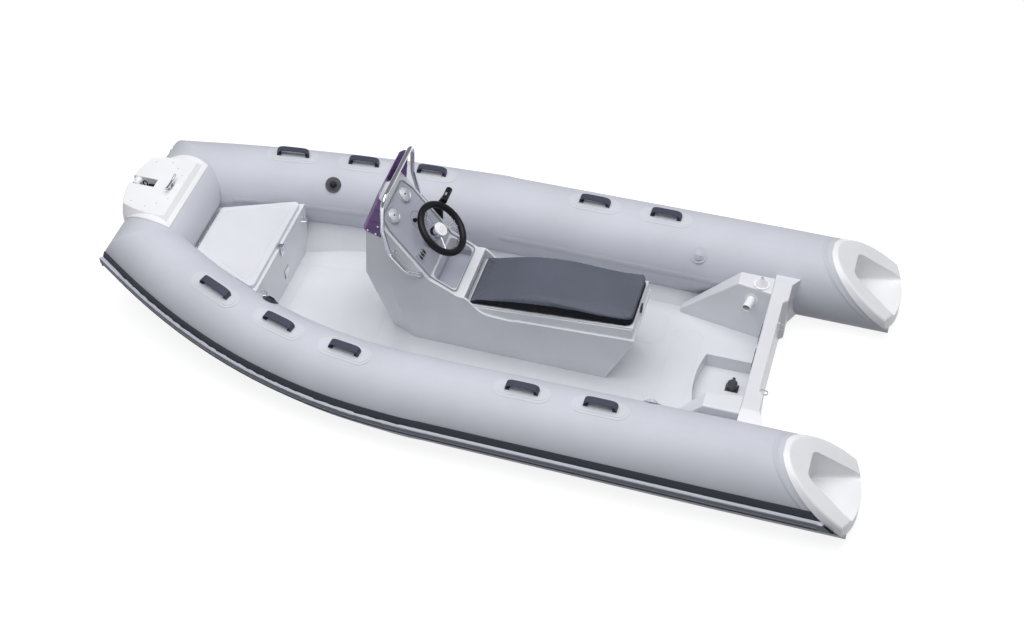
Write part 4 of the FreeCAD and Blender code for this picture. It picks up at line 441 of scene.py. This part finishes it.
def long_tape(run, degrees, width, lift):
    """Tape along the tube at one angle, over the run from one x to another."""
    spread = math.degrees(width / 2 / TUBE_R)
    rows = []
    for i in range(RIBBON_STEPS + 1):
        x = blend(*run, i / RIBBON_STEPS)
        rows.append([(x, degrees - spread), (x, degrees), (x, degrees + spread)])
    return tube_ribbon(rows, lift)


def tube_tapes():
    """Seam tape ahead of each cone, and the one along the inboard side over the deck's edge."""
    tapes = [cone_tape(), long_tape(DECK_TAPE_RUN, DECK_TAPE_DEG, DECK_TAPE_WIDTH, TAPE_LIFT)]
    points, faces = both_sides(joined(tapes))
    add_mesh("tube_tapes", points, faces, "tube_tape")


# Strakes: angle and width of each painted highlight line and painted groove shade line on the ridge
RIDGE_FROM = 0.0195
BAND_FROM = 0.0075
STRAKE_RUN = (-1.95, 1.86)
LINE_LIFT = 0.0225
HIGHLIGHT_LINES = ((2.2, 0.0032), (-5.0, 0.0022))
GROOVE_SHADE_LINES = ((-8.6, 0.008),)


def round_tube(spot, side):
    """Angle round the tube and height off it: side is 1 to port, -1 to starboard and 0 at the bow."""
    if side == 0:
        away = Vector((spot.x - CORNER.x, spot.z - CORNER.z))
        radius = BOW_R
    else:
        centre, _, out, over = tube_frame(spot.x)
        offset = Vector((spot.x, spot.y * side, spot.z)) - centre
        away = Vector((offset.dot(out), offset.dot(over)))
        radius = tube_radius(spot.x)
    return math.degrees(math.atan2(away.y, away.x)), away.length - radius


def strake_colours():
    """Gives the strake's ridge a mid grey, the band above it a painted highlight and the band below it
    painted shade.
    """
    for side, name in ((1, "strake_port"), (-1, "strake_starboard"), (0, "strake_bow")):
        mesh = frame["nodes"][name].data
        for shade in ("strake_ridge", "strake_highlight", "strake_shade"):
            mesh.materials.append(MATERIALS[shade])
        for face in mesh.polygons:
            degrees, proud = round_tube(face.center, side)
            if proud > RIDGE_FROM:
                face.material_index = 1
            elif proud > BAND_FROM:
                # Faces above the tube's middle get the painted highlight, those below it the painted shade.
                face.material_index = 2 if degrees > 0 else 3


def strake_lines():
    """Thin pale lines painted as highlights, and a dark line painted as a groove's shade, along the strake's
    ridge.
    """
    for name, material, bands in (("strake_painted_highlights", "strake_highlight", HIGHLIGHT_LINES),
                                  ("strake_groove_shade", "strake_shade", GROOVE_SHADE_LINES)):
        tapes = [long_tape(STRAKE_RUN, degrees, width, LINE_LIFT) for degrees, width in bands]
        points, faces = both_sides(joined(tapes))
        add_mesh(name, points, faces, material)


# Stitches on the handles' straps
FOOT_REACH = 0.0745
STITCH_COUNT = 8
STITCH_RUN = 0.022
STITCH_ROWS = (-0.013, 0.013)
STITCH_LENGTH = 0.0017
STITCH_LIFT = 0.0097
THREAD_R = 0.0005


def handle_stitches():
    """Rows of stitches on both feet of each strap."""
    threads = []
    for x, degrees in HANDLES:
        for end in (-1, 1):
            first = x + end * FOOT_REACH - STITCH_RUN / 2
            for i in range(STITCH_COUNT):
                start = first + STITCH_RUN * i / STITCH_COUNT
                for across in STITCH_ROWS:
                    turn = degrees + math.degrees(across / TUBE_R)
                    ends = [on_tube(a, turn, STITCH_LIFT)[0] for a in (start, start + STITCH_LENGTH)]
                    threads.append(rod(ends, THREAD_R, 5))
    points, faces = both_sides(joined(threads))
    add_mesh("handle_stitches", points, faces, "thread")


# Air valves
VALVE_TOP = 0.012
CAP_PROFILE = ((0.021, 0.0), (0.021, 0.003), (0.019, 0.005), (0.008, 0.0055))
CAP_BAR = (0.03, 0.006, 0.004)
CAP_BAR_LIFT = 0.005
FLANGE_SCREWS = 6
FLANGE_SCREW_RING = 0.037
FLANGE_TOP = 0.003


def valve_caps():
    """Bayonet cap with a bar grip and a ring of screws on each air valve, in the tube's grey aft."""
    for x, degrees in VALVES:
        place, normal = on_tube(x, degrees, VALVE_TOP)
        along = tube_frame(x)[1]
        caps = [turned(CAP_PROFILE, place, normal, 32),
                slab(place + normal * CAP_BAR_LIFT, along, normal, CAP_BAR, 0.001)]
        for i in range(FLANGE_SCREWS):
            angle = 2 * math.pi * i / FLANGE_SCREWS
            forward, across = FLANGE_SCREW_RING * math.cos(angle), FLANGE_SCREW_RING * math.sin(angle)
            spot, away = on_tube(x + forward, degrees + math.degrees(across / TUBE_R), FLANGE_TOP)
            caps.append(screw(spot, away, 0.003))
        points, faces = both_sides(joined(caps))
        add_mesh("valve_caps", points, faces, "black_plastic" if x > 0 else "tube_fabric")


# Console
DASH_UP = Vector((math.cos(math.radians(DASH_DEG)), 0, math.sin(math.radians(DASH_DEG))))
DASH_OUT = Vector((-math.sin(math.radians(DASH_DEG)), 0, math.cos(math.radians(DASH_DEG))))
PORT = Vector((0, 1, 0))
GAUGES = (-0.088, 0.088)
GAUGE_R = 0.044
GAUGE_TOP = PANEL_LIFT + 0.0118
DIAL_R = GAUGE_R - 0.0056
DIAL_THICK = 0.0012
DIAL_TOP = 0.0013
BEZEL_UP = 0.0026
BEZEL_ROD = 0.0024
TICKS = 18
TICKS_PER_LONG = 3
TICK_SWEEP = 130
TICK_END = 0.0345
LONG_TICK = (0.005, 0.0007, 0.0002)
SHORT_TICK = (0.003, 0.0004, 0.0002)
NEEDLE = (0.030, 0.0012, 0.001)
NEEDLE_TURN = -2.2
HUB_PROFILE = ((0.0045, 0.0), (0.0045, 0.0022), (0.003, 0.003))
PANEL_SCREWS = ((0.556, 0.0), (0.335, 0.155), (0.335, -0.155), (0.47, 0.155), (0.47, -0.155))
PANEL_SCREW_R = 0.0035
KNOBS = ((0.452, -0.020), (0.438, -0.062))
KNOB_TOP = PANEL_LIFT + 0.0142
KNOB_GRIP = (0.02, 0.006, 0.006)
SURROUND_AT = (0.445, -0.041)
SURROUND_RINGS = (0.046, 0.050)
SURROUND_ROD = 0.0009
LOCK_AT = (0.372, -0.115)
LOCK_PROFILE = ((0.011, 0.0), (0.011, 0.004), (0.009, 0.006), (0.003, 0.006))
KEY_BLADE = (0.014, 0.0025, 0.018)
SWITCH_AT = (0.372, 0.116)
SWITCH_STEP = 0.024
ROCKER_TOP = PANEL_LIFT + 0.009
LAMP_TOP = PANEL_LIFT + 0.007
ROCKER_BAR = (0.008, 0.0012, 0.0006)
ROCKER_BARS_DOWN = (0.0135, 0.001)
LAMP_UP = 0.0115
LENS_PROFILE = ((0.003, 0.0), (0.0028, 0.001), (0.001, 0.002))


def on_dash(x, y, lift=0.0):
    """Point on the dash face, off it by lift."""
    z = DASH_POINT[1] + (x - DASH_POINT[0]) * math.tan(math.radians(DASH_DEG))
    return Vector((x, y, z)) + DASH_OUT * lift


def ring(centre, up, radius, thickness, steps):
    """Round ring of thin rod, square to up, which lies in the centre plane."""
    first = PORT.cross(up).normalized()
    points = []
    for i in range(steps + 1):
        t = 2 * math.pi * i / steps
        points.append(centre + (first * math.cos(t) + PORT * math.sin(t)) * radius)
    return rod(points, thickness, 10)


def dial_marks(top):
    """Tick marks and a needle on one dial."""
    marks = []
    for i in range(TICKS + 1):
        t = math.radians(blend(-TICK_SWEEP, TICK_SWEEP, i / TICKS))
        spoke = DASH_UP * math.cos(t) + PORT * math.sin(t)
        size = LONG_TICK if i % TICKS_PER_LONG == 0 else SHORT_TICK
        marks.append(slab(top + spoke * (TICK_END - size[0] / 2), spoke, DASH_OUT, size))
    needle = DASH_UP * math.cos(NEEDLE_TURN) + PORT * math.sin(NEEDLE_TURN)
    marks.append(slab(top + needle * NEEDLE[0] / 3, needle, DASH_OUT, NEEDLE))
    return marks


def gauge_faces():
    """Bezel ring, white face, tick marks, needle and hub on each dial."""
    rings, faces, marks, hubs = [], [], [], []
    for y in GAUGES:
        face_at = on_dash(DASH_POINT[0], y, GAUGE_TOP)
        faces.append(turned(((DIAL_R, 0.0), (DIAL_R, DIAL_THICK)), face_at, DASH_OUT))
        rings.append(ring(face_at + DASH_OUT * BEZEL_UP, DASH_OUT, GAUGE_R - BEZEL_ROD, BEZEL_ROD, 64))
        top = face_at + DASH_OUT * DIAL_TOP
        marks += dial_marks(top)
        hubs.append(turned(HUB_PROFILE, top, DASH_OUT, 24))
    add_mesh("gauge_rings", *joined(rings), "stainless")
    add_mesh("gauge_faces", *joined(faces), "gauge_white")
    add_mesh("gauge_marks", *joined(marks), "gauge_mark", smooth=False)
    add_mesh("gauge_hubs", *joined(hubs), "black_plastic")


def dash_details():
    """Screws, a double line round the knobs, knob grips and the ignition switch."""
    screws = [screw(on_dash(x, y, PANEL_LIFT), DASH_OUT, PANEL_SCREW_R) for x, y in PANEL_SCREWS]
    add_mesh("dash_screws", *joined(screws), "stainless")
    middle = on_dash(*SURROUND_AT, PANEL_LIFT)
    lines = [ring(middle, DASH_OUT, radius, SURROUND_ROD, 64) for radius in SURROUND_RINGS]
    add_mesh("knob_surround", *joined(lines), "trim_grey")
    grips = [slab(on_dash(x, y, KNOB_TOP), DASH_UP, DASH_OUT, KNOB_GRIP, 0.001) for x, y in KNOBS]
    add_mesh("knob_grips", *joined(grips), "black_plastic", smooth=False)
    lock = turned(LOCK_PROFILE, on_dash(*LOCK_AT, PANEL_LIFT), DASH_OUT, 32)
    add_mesh("ignition_switch", *lock, "stainless")
    key = slab(on_dash(*LOCK_AT, PANEL_LIFT + LOCK_PROFILE[-1][1]), DASH_UP, DASH_OUT, KEY_BLADE, 0.0006)
    add_mesh("ignition_key", *key, "black_plastic", smooth=False)


def switch_marks():
    """Two raised bars on each rocker and a lens over each lamp."""
    bars, lenses = [], []
    x, y = SWITCH_AT
    for index in (-1, 0, 1):
        rocker = on_dash(x, y + index * SWITCH_STEP, ROCKER_TOP)
        for down in ROCKER_BARS_DOWN:
            bars.append(slab(rocker - DASH_UP * down, PORT, DASH_OUT, ROCKER_BAR))
        lamp = on_dash(x, y + index * SWITCH_STEP, LAMP_TOP) + DASH_UP * LAMP_UP
        lenses.append(turned(LENS_PROFILE, lamp, DASH_OUT, 20))
    add_mesh("rocker_bars", *joined(bars), "gauge_white", smooth=False)
    add_mesh("lamp_lenses", *joined(lenses), "lamp_green")


# Steering wheel
AXLE = Vector((-math.sin(math.radians(WHEEL_DEG)), 0, math.cos(math.radians(WHEEL_DEG))))
WHEEL_UP = Vector((math.cos(math.radians(WHEEL_DEG)), 0, math.sin(math.radians(WHEEL_DEG))))
WHEEL_R = 0.142
RIDGE_R = 0.0193
RIDGE_ROD = 0.0011
RIDGE_ARC = (110, 250)
RIDGE_STEPS = 6
RIDGE_PLACES = 48
RIDGE_GROUP = 8
BOSS_PROFILE = ((0.024, 0.0), (0.024, 0.001), (0.022, 0.0022), (0.012, 0.0026))
BOSS_BACK = 0.0036
BELLOWS = 4
BELLOWS_BACK = 0.046
BELLOWS_STEP = 0.005
BELLOWS_R = 0.0285
BELLOWS_TAPER = 0.0008
BELLOWS_ROD = 0.0024


def grip_ridge(turn):
    """One ridge across the inner side of the rim, at that angle round the wheel."""
    spoke = WHEEL_UP * math.cos(turn) + PORT * math.sin(turn)
    points = []
    for k in range(RIDGE_STEPS + 1):
        a = math.radians(blend(*RIDGE_ARC, k / RIDGE_STEPS))
        points.append(WHEEL_CENTRE + spoke * (WHEEL_R + RIDGE_R * math.cos(a)) + AXLE * RIDGE_R * math.sin(a))
    return rod(points, RIDGE_ROD, 6)


def wheel_details():
    """Groups of grip ridges inside the rim, the boss's cap and the helm's bellows."""
    ridges = [grip_ridge(2 * math.pi * i / RIDGE_PLACES) for i in range(RIDGE_PLACES)
              if i % RIDGE_GROUP not in (0, RIDGE_GROUP - 1)]
    add_mesh("wheel_ridges", *joined(ridges), "black_plastic", body="wheel")
    boss = turned(BOSS_PROFILE, WHEEL_CENTRE - AXLE * BOSS_BACK, AXLE, 48)
    add_mesh("wheel_boss", *boss, "white_moulding", body="wheel")
    rings = []
    for i in range(BELLOWS):
        centre = WHEEL_CENTRE - AXLE * (BELLOWS_BACK + BELLOWS_STEP * i)
        rings.append(ring(centre, AXLE, BELLOWS_R - BELLOWS_TAPER * i, BELLOWS_ROD, 48))
    add_mesh("helm_bellows", *joined(rings), "black_plastic")


# Screen and throttle
SIDE_BOLTS = ((0.585, 0.2068, 0.776), (0.628, 0.2066, 0.792), (0.570, 0.2072, 0.83))
SIDE_BOLT_WAY = (0, 1, 0.05)
FRONT_BOLTS = ((0.6585, 0.12, 0.812), (0.6585, 0.03, 0.812))
FRONT_BOLT_WAY = (1, 0, 0.2)
SCREEN_BOLT_R = 0.006
BOX_SCREWS_X = (0.362, 0.438)
BOX_SCREWS_Z = (0.586, 0.650)
BOX_SIDE_Y = -0.2224
BUTTON_AT = (0.330, -0.205, 0.7695)
BUTTON_WAY = (-0.35, 0, 0.94)
BUTTON_SIZE = (0.022, 0.010, 0.0035)


def screen_bolts():
    """Domed bolts along the screen's foot and up its sides."""
    bolts = [screw(place, SIDE_BOLT_WAY, SCREEN_BOLT_R) for place in SIDE_BOLTS]
    bolts += [screw(place, FRONT_BOLT_WAY, SCREEN_BOLT_R) for place in FRONT_BOLTS]
    points, faces = both_sides(joined(bolts))
    add_mesh("screen_bolts", points, faces, "stainless")


def throttle_details():
    """Screws on the control box, and the trim button on the grip."""
    screws = [screw((x, BOX_SIDE_Y, z), -PORT, 0.003) for x in BOX_SCREWS_X for z in BOX_SCREWS_Z]
    add_mesh("throttle_screws", *joined(screws), "stainless")
    button = slab(BUTTON_AT, PORT, BUTTON_WAY, BUTTON_SIZE, 0.001)
    add_mesh("throttle_button", *button, "trim_grey", smooth=False)


# Seat cushion
CUSHION_VOXEL = 0.007
CUSHION_INSET = 0.005
CUSHION_SWELL = 0.007
CUSHION_ROUNDING = 14
# Share of the top's height below which the pad's sides are painted as shade
CUSHION_SHADE_SPLIT = 0.68
CUSHION_FOOT = 0.012
CUSHION_GAP = 0.0003
CUSHION_PRESSURE = 4.0
CLOTH_FRAMES = 20
LID_AFT_RISE = 0.0103


def shrunk_copy(node, inset):
    """Copy of a CAD node's mesh, a little smaller about its middle, with its foot kept."""
    copy = frame["nodes"][node].copy()
    copy.data = copy.data.copy()
    bpy.context.collection.objects.link(copy)
    copy.parent = None
    copy.matrix_world = frame["nodes"][node].matrix_world
    low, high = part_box(node)
    for vertex in copy.data.vertices:
        for axis_index in (0, 1):
            middle = (low[axis_index] + high[axis_index]) / 2
            half = (high[axis_index] - low[axis_index]) / 2
            vertex.co[axis_index] = middle + (vertex.co[axis_index] - middle) * (half - inset) / half
    return copy


def apply_modifiers(piece):
    depsgraph = bpy.context.evaluated_depsgraph_get()
    mesh = bpy.data.meshes.new_from_object(piece.evaluated_get(depsgraph))
    piece.modifiers.clear()
    piece.data = mesh


def swell(piece, pinned, cap):
    """Cloth simulation that fills the cushion, with its foot held and the movement capped."""
    start = [v.co.copy() for v in piece.data.vertices]
    group = piece.vertex_groups.new(name="held")
    group.add([v.index for v in piece.data.vertices if pinned(v.co)], 1.0, "REPLACE")
    cloth = piece.modifiers.new("cloth", "CLOTH")
    cloth.settings.use_pressure = True
    cloth.settings.uniform_pressure_force = CUSHION_PRESSURE
    cloth.settings.vertex_group_mass = "held"
    cloth.settings.effector_weights.gravity = 0.0
    scene = bpy.context.scene
    for number in range(1, CLOTH_FRAMES + 1):
        scene.frame_set(number)
    apply_modifiers(piece)
    for vertex, old in zip(piece.data.vertices, start):
        move = vertex.co - old
        if move.length > cap:
            vertex.co = old + move.normalized() * cap
    piece.vertex_groups.clear()
    scene.frame_set(1)


def height_on_lid(spot):
    """Height of a point over the seat's sloping lid, which is read from the frame's boxes."""
    low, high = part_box("seat_lid")
    return spot.z - blend(high[2], low[2] + LID_AFT_RISE, (spot.x - low[0]) / (high[0] - low[0]))


def round_off(piece):
    """Even mesh with rounded edges, swollen where simulations run, and then made finer."""
    remesh = piece.modifiers.new("remesh", "REMESH")
    remesh.mode = "VOXEL"
    remesh.voxel_size = CUSHION_VOXEL
    smooth = piece.modifiers.new("round", "SMOOTH")
    smooth.factor = 0.5
    smooth.iterations = CUSHION_ROUNDING
    apply_modifiers(piece)
    swell(piece, lambda spot: height_on_lid(spot) < CUSHION_FOOT, CUSHION_SWELL)
    finer = piece.modifiers.new("finer", "SUBSURF")
    finer.levels = finer.render_levels = 1
    apply_modifiers(piece)


def colour_pad(mesh):
    """Near-black sides as painted shade, up to a line that follows the top's height along the seat."""
    mesh.materials.clear()
    mesh.materials.append(MATERIALS["upholstery"])
    mesh.materials.append(MATERIALS["pad_side_shade"])
    tops = {}
    for face in mesh.polygons:
        place = round(face.center.x, 2)
        tops[place] = max(tops.get(place, 0), height_on_lid(face.center))
    for face in mesh.polygons:
        face.use_smooth = True
        # Below this height the pad's sides get the near-black painted shade.
        seam = CUSHION_SHADE_SPLIT * tops[round(face.center.x, 2)]
        face.material_index = 0 if height_on_lid(face.center) > seam else 1


def make_cushion():
    """Rounded, swollen seat pad on the lid, with painted shade on its sides."""
    piece = shrunk_copy("seat_cushion", CUSHION_INSET)
    piece.name = "seat_pad"
    round_off(piece)
    low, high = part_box("seat_cushion")
    for vertex in piece.data.vertices:
        vertex.co.x = min(high[0], max(low[0], vertex.co.x))
        vertex.co.z += max(0.0, CUSHION_GAP - height_on_lid(vertex.co))
    colour_pad(piece.data)
    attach(piece, "seat")
    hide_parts("seat_cushion")


# Deck
UP = Vector((0, 0, 1))
SOLE_Z = -0.0149
SIDE_PANEL = ((-0.90, 0.18), (0.50, 0.18), (0.50, 0.40), (-0.90, 0.42))
FORE_PANEL = ((0.63, -0.29), (1.17, -0.23), (1.17, 0.23), (0.63, 0.29))
AFT_PANEL = ((-1.12, -0.34), (-0.96, -0.34), (-0.96, 0.34), (-1.12, 0.34))
PANEL_CORNER = 0.035
PANEL_RISE = 0.0006
PANEL_EDGE = 0.003
LINE_RISE = 0.0002
LINE_GAP = 0.008
LINE_WIDTH = 0.0018
LID_FIELD_INSET = 0.05
LID_SLANT_AFT = 0.012
LID_SLANT_FORE = 0.112
LID_FIELD_SINK = 0.0003


def cut_corners(outline, cut):
    """The outline with each corner taken off by cut."""
    points = []
    for i, corner in enumerate(outline):
        here = Vector(corner)
        before, after = Vector(outline[i - 1]), Vector(outline[(i + 1) % len(outline)])
        points.append(here + (before - here).normalized() * cut)
        points.append(here + (after - here).normalized() * cut)
    return points


def inner_outline(points, inset):
    """Outline moved in by about inset towards its middle."""
    middle = sum(points, Vector((0, 0))) / len(points)
    return [p + (middle - p).normalized() * inset for p in points]


def flat_panel(outline, z):
    """Thin raised panel with slanting edges and cut corners."""
    outer = cut_corners(outline, PANEL_CORNER)
    rows = [[Vector((p.x, p.y, z)) for p in outer],
            [Vector((p.x, p.y, z + PANEL_RISE)) for p in inner_outline(outer, PANEL_EDGE)]]
    points, faces = grid(rows, True)
    faces.append(tuple(range(len(outer), 2 * len(outer))))
    return points, faces


def line_round(outline, z):
    """Flat line that runs round a panel."""
    corners = cut_corners(outline, PANEL_CORNER)
    rows = []
    for gap in (LINE_GAP, LINE_GAP + LINE_WIDTH):
        rows.append([Vector((p.x, p.y, z + LINE_RISE)) for p in inner_outline(corners, -gap)])
    return grid(rows, True)


def deck_details():
    """Non-skid fields on the sole with a thin line round each."""
    fields, lines = [], []
    for outline in (SIDE_PANEL, FORE_PANEL, AFT_PANEL):
        field, line = flat_panel(outline, SOLE_Z), line_round(outline, SOLE_Z)
        if outline is SIDE_PANEL:
            field, line = both_sides(field), both_sides(line)
        fields.append(field)
        lines.append(line)
    add_mesh("deck_non_skid", *joined(fields), "non_skid", smooth=False)
    add_mesh("deck_lines", *joined(lines), "shadow_line", smooth=False)


def lid_field():
    """Non-skid field on the bow locker's lid, which narrows towards the bow."""
    low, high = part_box("locker_lid")
    aft, fore = low[0] + LID_FIELD_INSET, high[0] - LID_FIELD_INSET
    right, left = low[1] + LID_FIELD_INSET, high[1] - LID_FIELD_INSET
    outline = ((aft, right + LID_SLANT_AFT), (fore, right + LID_SLANT_FORE),
               (fore, left - LID_SLANT_FORE), (aft, left - LID_SLANT_AFT))
    field = flat_panel(outline, high[2] - LID_FIELD_SINK)
    add_mesh("lid_non_skid", *field, "non_skid", body="bow_lid", smooth=False)


# Bow
PLATE_SCREWS = ((1.835, 0.10), (1.93, 0.19), (2.02, 0.17), (1.88, 0.15))
PLATE_SCREW_SINK = 0.0008
CLEAT_SCREWS = (0.009, 0.022)
CLEAT_FOOT = 0.0048
# Black sheet painted as shadow on the bow tube in the plate's slot
SLOT_SHADOW_ARC = (68, 22)
SLOT_SHADOW_STEPS = 12
SLOT_SHADOW_LIFT = 0.001
SLOT_SHADOW_HALF = 0.029
HOOK_ARC = (-60, 230)
HOOK_STEPS = 14
HOOK_AT = Vector((-0.050, 0, 0.004))
HOOK_HALF = (0.013, 0.018)
HOOK_ROD = 0.0035
STRAP_AT = Vector((-0.092, 0, -0.004))
STRAP = (0.05, 0.022, 0.004)
HATCH_Y = -0.04
HATCH_Z = 0.09
HATCH_SHADOW = (0.066, 0.056, 0.0016)
HATCH = (0.058, 0.048, 0.006)
AFT = Vector((-1, 0, 0))
RING_PROFILE = ((0.0055, -0.003), (0.0055, 0.003))
RING_OFF = 0.018
HINGE_END = 0.024
HINGE_AXIS_DOWN = 0.005


def middle_of(node):
    """Middle of a node's box."""
    low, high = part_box(node)
    return (Vector(low) + Vector(high)) / 2


def bow_screws():
    """Screws on the bow plate and on the cleat's foot."""
    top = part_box("bow_plate")[1][2] - PLATE_SCREW_SINK
    points, faces = both_sides(joined([screw((x, y, top), UP, 0.004) for x, y in PLATE_SCREWS]))
    add_mesh("plate_screws", points, faces, "stainless")
    centre_x = middle_of("bow_cleat").x
    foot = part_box("bow_cleat")[0][2] + CLEAT_FOOT
    along, across = CLEAT_SCREWS
    screws = [screw((centre_x + x, y, foot), UP, 0.003) for x in (-along, along) for y in (-across, across)]
    add_mesh("cleat_screws", *joined(screws), "stainless")


def slot_shadow():
    """Black sheet on the bow tube under the plate's slot, painted as the shadow in the slot."""
    rows = []
    for i in range(SLOT_SHADOW_STEPS + 1):
        t = math.radians(blend(*SLOT_SHADOW_ARC, i / SLOT_SHADOW_STEPS))
        reach = BOW_R + SLOT_SHADOW_LIFT
        spot = Vector((CORNER.x + math.cos(t) * reach, 0, CORNER.z + math.sin(t) * reach))
        rows.append([spot - PORT * SLOT_SHADOW_HALF, spot + PORT * SLOT_SHADOW_HALF])
    add_mesh("slot_shadow", *grid(rows), "black_plastic")


def painter_hook():
    """Snap hook with its strap, in the slot aft of the roller."""
    pin = middle_of("bow_roller")
    pin.y = 0
    hook = []
    for i in range(HOOK_STEPS + 1):
        t = math.radians(blend(*HOOK_ARC, i / HOOK_STEPS))
        hook.append(pin + HOOK_AT + Vector((HOOK_HALF[0] * math.cos(t), 0, HOOK_HALF[1] * math.sin(t))))
    strap = slab(pin + STRAP_AT, -AFT, UP, STRAP, 0.001)
    add_mesh("painter_hook", *joined([rod(hook, HOOK_ROD, 10), strap]), "black_plastic")


def locker_hatch():
    """Small hatch in the locker's aft wall, with a grey sheet round it painted as the shadow in its gap."""
    place = Vector((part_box("locker_eyes")[1][0], HATCH_Y, HATCH_Z))
    # The grey sheet round the hatch is painted shadow in the gap.
    add_mesh("locker_hatch_shadow", *slab(place, UP, AFT, HATCH_SHADOW, 0.0005), "trim_grey")
    add_mesh("locker_hatch", *slab(place + AFT * 0.001, UP, AFT, HATCH, 0.0015), "white_moulding")


def hinge_rings():
    """Rings beside each knuckle of the locker's hinge."""
    low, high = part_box("locker_hinge")
    rings = []
    for y in (low[1] + HINGE_END, 0.0, high[1] - HINGE_END):
        centre = Vector(((low[0] + high[0]) / 2, y, high[2] - HINGE_AXIS_DOWN))
        for offset in (PORT * RING_OFF, -PORT * RING_OFF):
            rings.append(turned(RING_PROFILE, centre + offset, PORT, 16))
    add_mesh("hinge_rings", *joined(rings), "stainless")


# Stern
PAD_BOLTS_Y = (-0.145, -0.045, 0.045, 0.145)
PAD_BOLT_INSET = 0.02
PAD_BOLT_SINK = 0.0002
BOOT_SCREWS = 4
BOOT_SCREW_RING = 0.038
BOOT_FLANGE = 0.0058
PUMP_AT = (-1.340, -0.060)
PUMP_SLOTS = 24
PUMP_SLOT_RING = 0.0281
PUMP_SLOT_UP = 0.012
PUMP_SLOT = (0.014, 0.0022, 0.0008)


def pad_bolts():
    """Two rows of bolts in the engine's clamp pads."""
    low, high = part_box("engine_pads")
    bolts = []
    for y in PAD_BOLTS_Y:
        for z in (low[2] + PAD_BOLT_INSET, high[2] - PAD_BOLT_INSET):
            bolts.append(screw((high[0] - PAD_BOLT_SINK, y, z), -AFT, 0.006))
    add_mesh("pad_bolts", *joined(bolts), "stainless")


def boot_screws():
    """Screws round the cable boot's flange."""
    middle = middle_of("cable_boot")
    middle.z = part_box("cable_boot")[0][2] + BOOT_FLANGE
    screws = []
    for i in range(BOOT_SCREWS):
        t = 2 * math.pi * (i + 0.5) / BOOT_SCREWS
        screws.append(screw(middle + Vector((math.cos(t), math.sin(t), 0)) * BOOT_SCREW_RING, UP, 0.003))
    add_mesh("boot_screws", *joined(screws), "stainless")


def pump_slot_shade():
    """Black strips round the bilge pump's strainer, painted as the shade in its slots."""
    centre = Vector((*PUMP_AT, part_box("bilge_pump")[0][2] + PUMP_SLOT_UP))
    slots = []
    for i in range(PUMP_SLOTS):
        t = 2 * math.pi * i / PUMP_SLOTS
        spoke = Vector((math.cos(t), math.sin(t), 0))
        slots.append(slab(centre + spoke * PUMP_SLOT_RING, UP, spoke, PUMP_SLOT))
    add_mesh("pump_slot_shade", *joined(slots), "black_plastic", smooth=False)


# Scene
def add_camera():
    data = bpy.data.cameras.new("camera")
    data.sensor_width = SENSOR
    data.lens = SENSOR * FOCAL_PIXELS / PHOTO_WIDTH
    camera = bpy.data.objects.new("camera", data)
    turn = Matrix((CAMERA_RIGHT, -CAMERA_DOWN, -CAMERA_FORWARD)).transposed()
    camera.matrix_world = Matrix.Translation(CAMERA_AT) @ turn.to_4x4()
    bpy.context.collection.objects.link(camera)
    bpy.context.scene.camera = camera


def add_floor():
    """Level sheet at the waterline, open where the hull is, so that the sole below it shows."""
    inner = [Vector((x, y, 0)) for x, y in HULL_LINE] + [Vector((x, -y, 0)) for x, y in reversed(HULL_LINE)]
    outer = [p.normalized() * FLOOR_SIZE for p in inner]
    mesh = bpy.data.meshes.new("floor")
    points, faces = grid([inner, outer], True)
    mesh.from_pydata([tuple(p) for p in points], [], faces)
    mesh.materials.append(floor_surface())
    floor = bpy.data.objects.new("floor", mesh)
    bpy.context.collection.objects.link(floor)


def add_light(name, place, size, power):
    data = bpy.data.lights.new(name, "AREA")
    data.size = size
    data.energy = power
    lamp = bpy.data.objects.new(name, data)
    lamp.location = place
    lamp.rotation_euler = (LAMP_AIM - Vector(place)).to_track_quat("-Z", "Y").to_euler()
    bpy.context.collection.objects.link(lamp)


def add_studio():
    add_floor()
    add_light("key", *KEY)
    add_light("fill", *FILL)
    world = bpy.data.worlds.new("studio")
    bpy.context.scene.world = world
    world.use_nodes = True
    back = world.node_tree.nodes["Background"]
    back.inputs["Color"].default_value = (*WORLD_COLOUR, 1)
    back.inputs["Strength"].default_value = WORLD_STRENGTH


bpy.context.scene.view_settings.view_transform = "Standard"
dress_nodes()
tube_tapes()
strake_colours()
strake_lines()
handle_stitches()
valve_caps()
gauge_faces()
dash_details()
switch_marks()
wheel_details()
screen_bolts()
throttle_details()
make_cushion()
deck_details()
lid_field()
bow_screws()
slot_shadow()
painter_hook()
locker_hatch()
hinge_rings()
pad_bolts()
boot_screws()
pump_slot_shade()
add_camera()
add_studio()
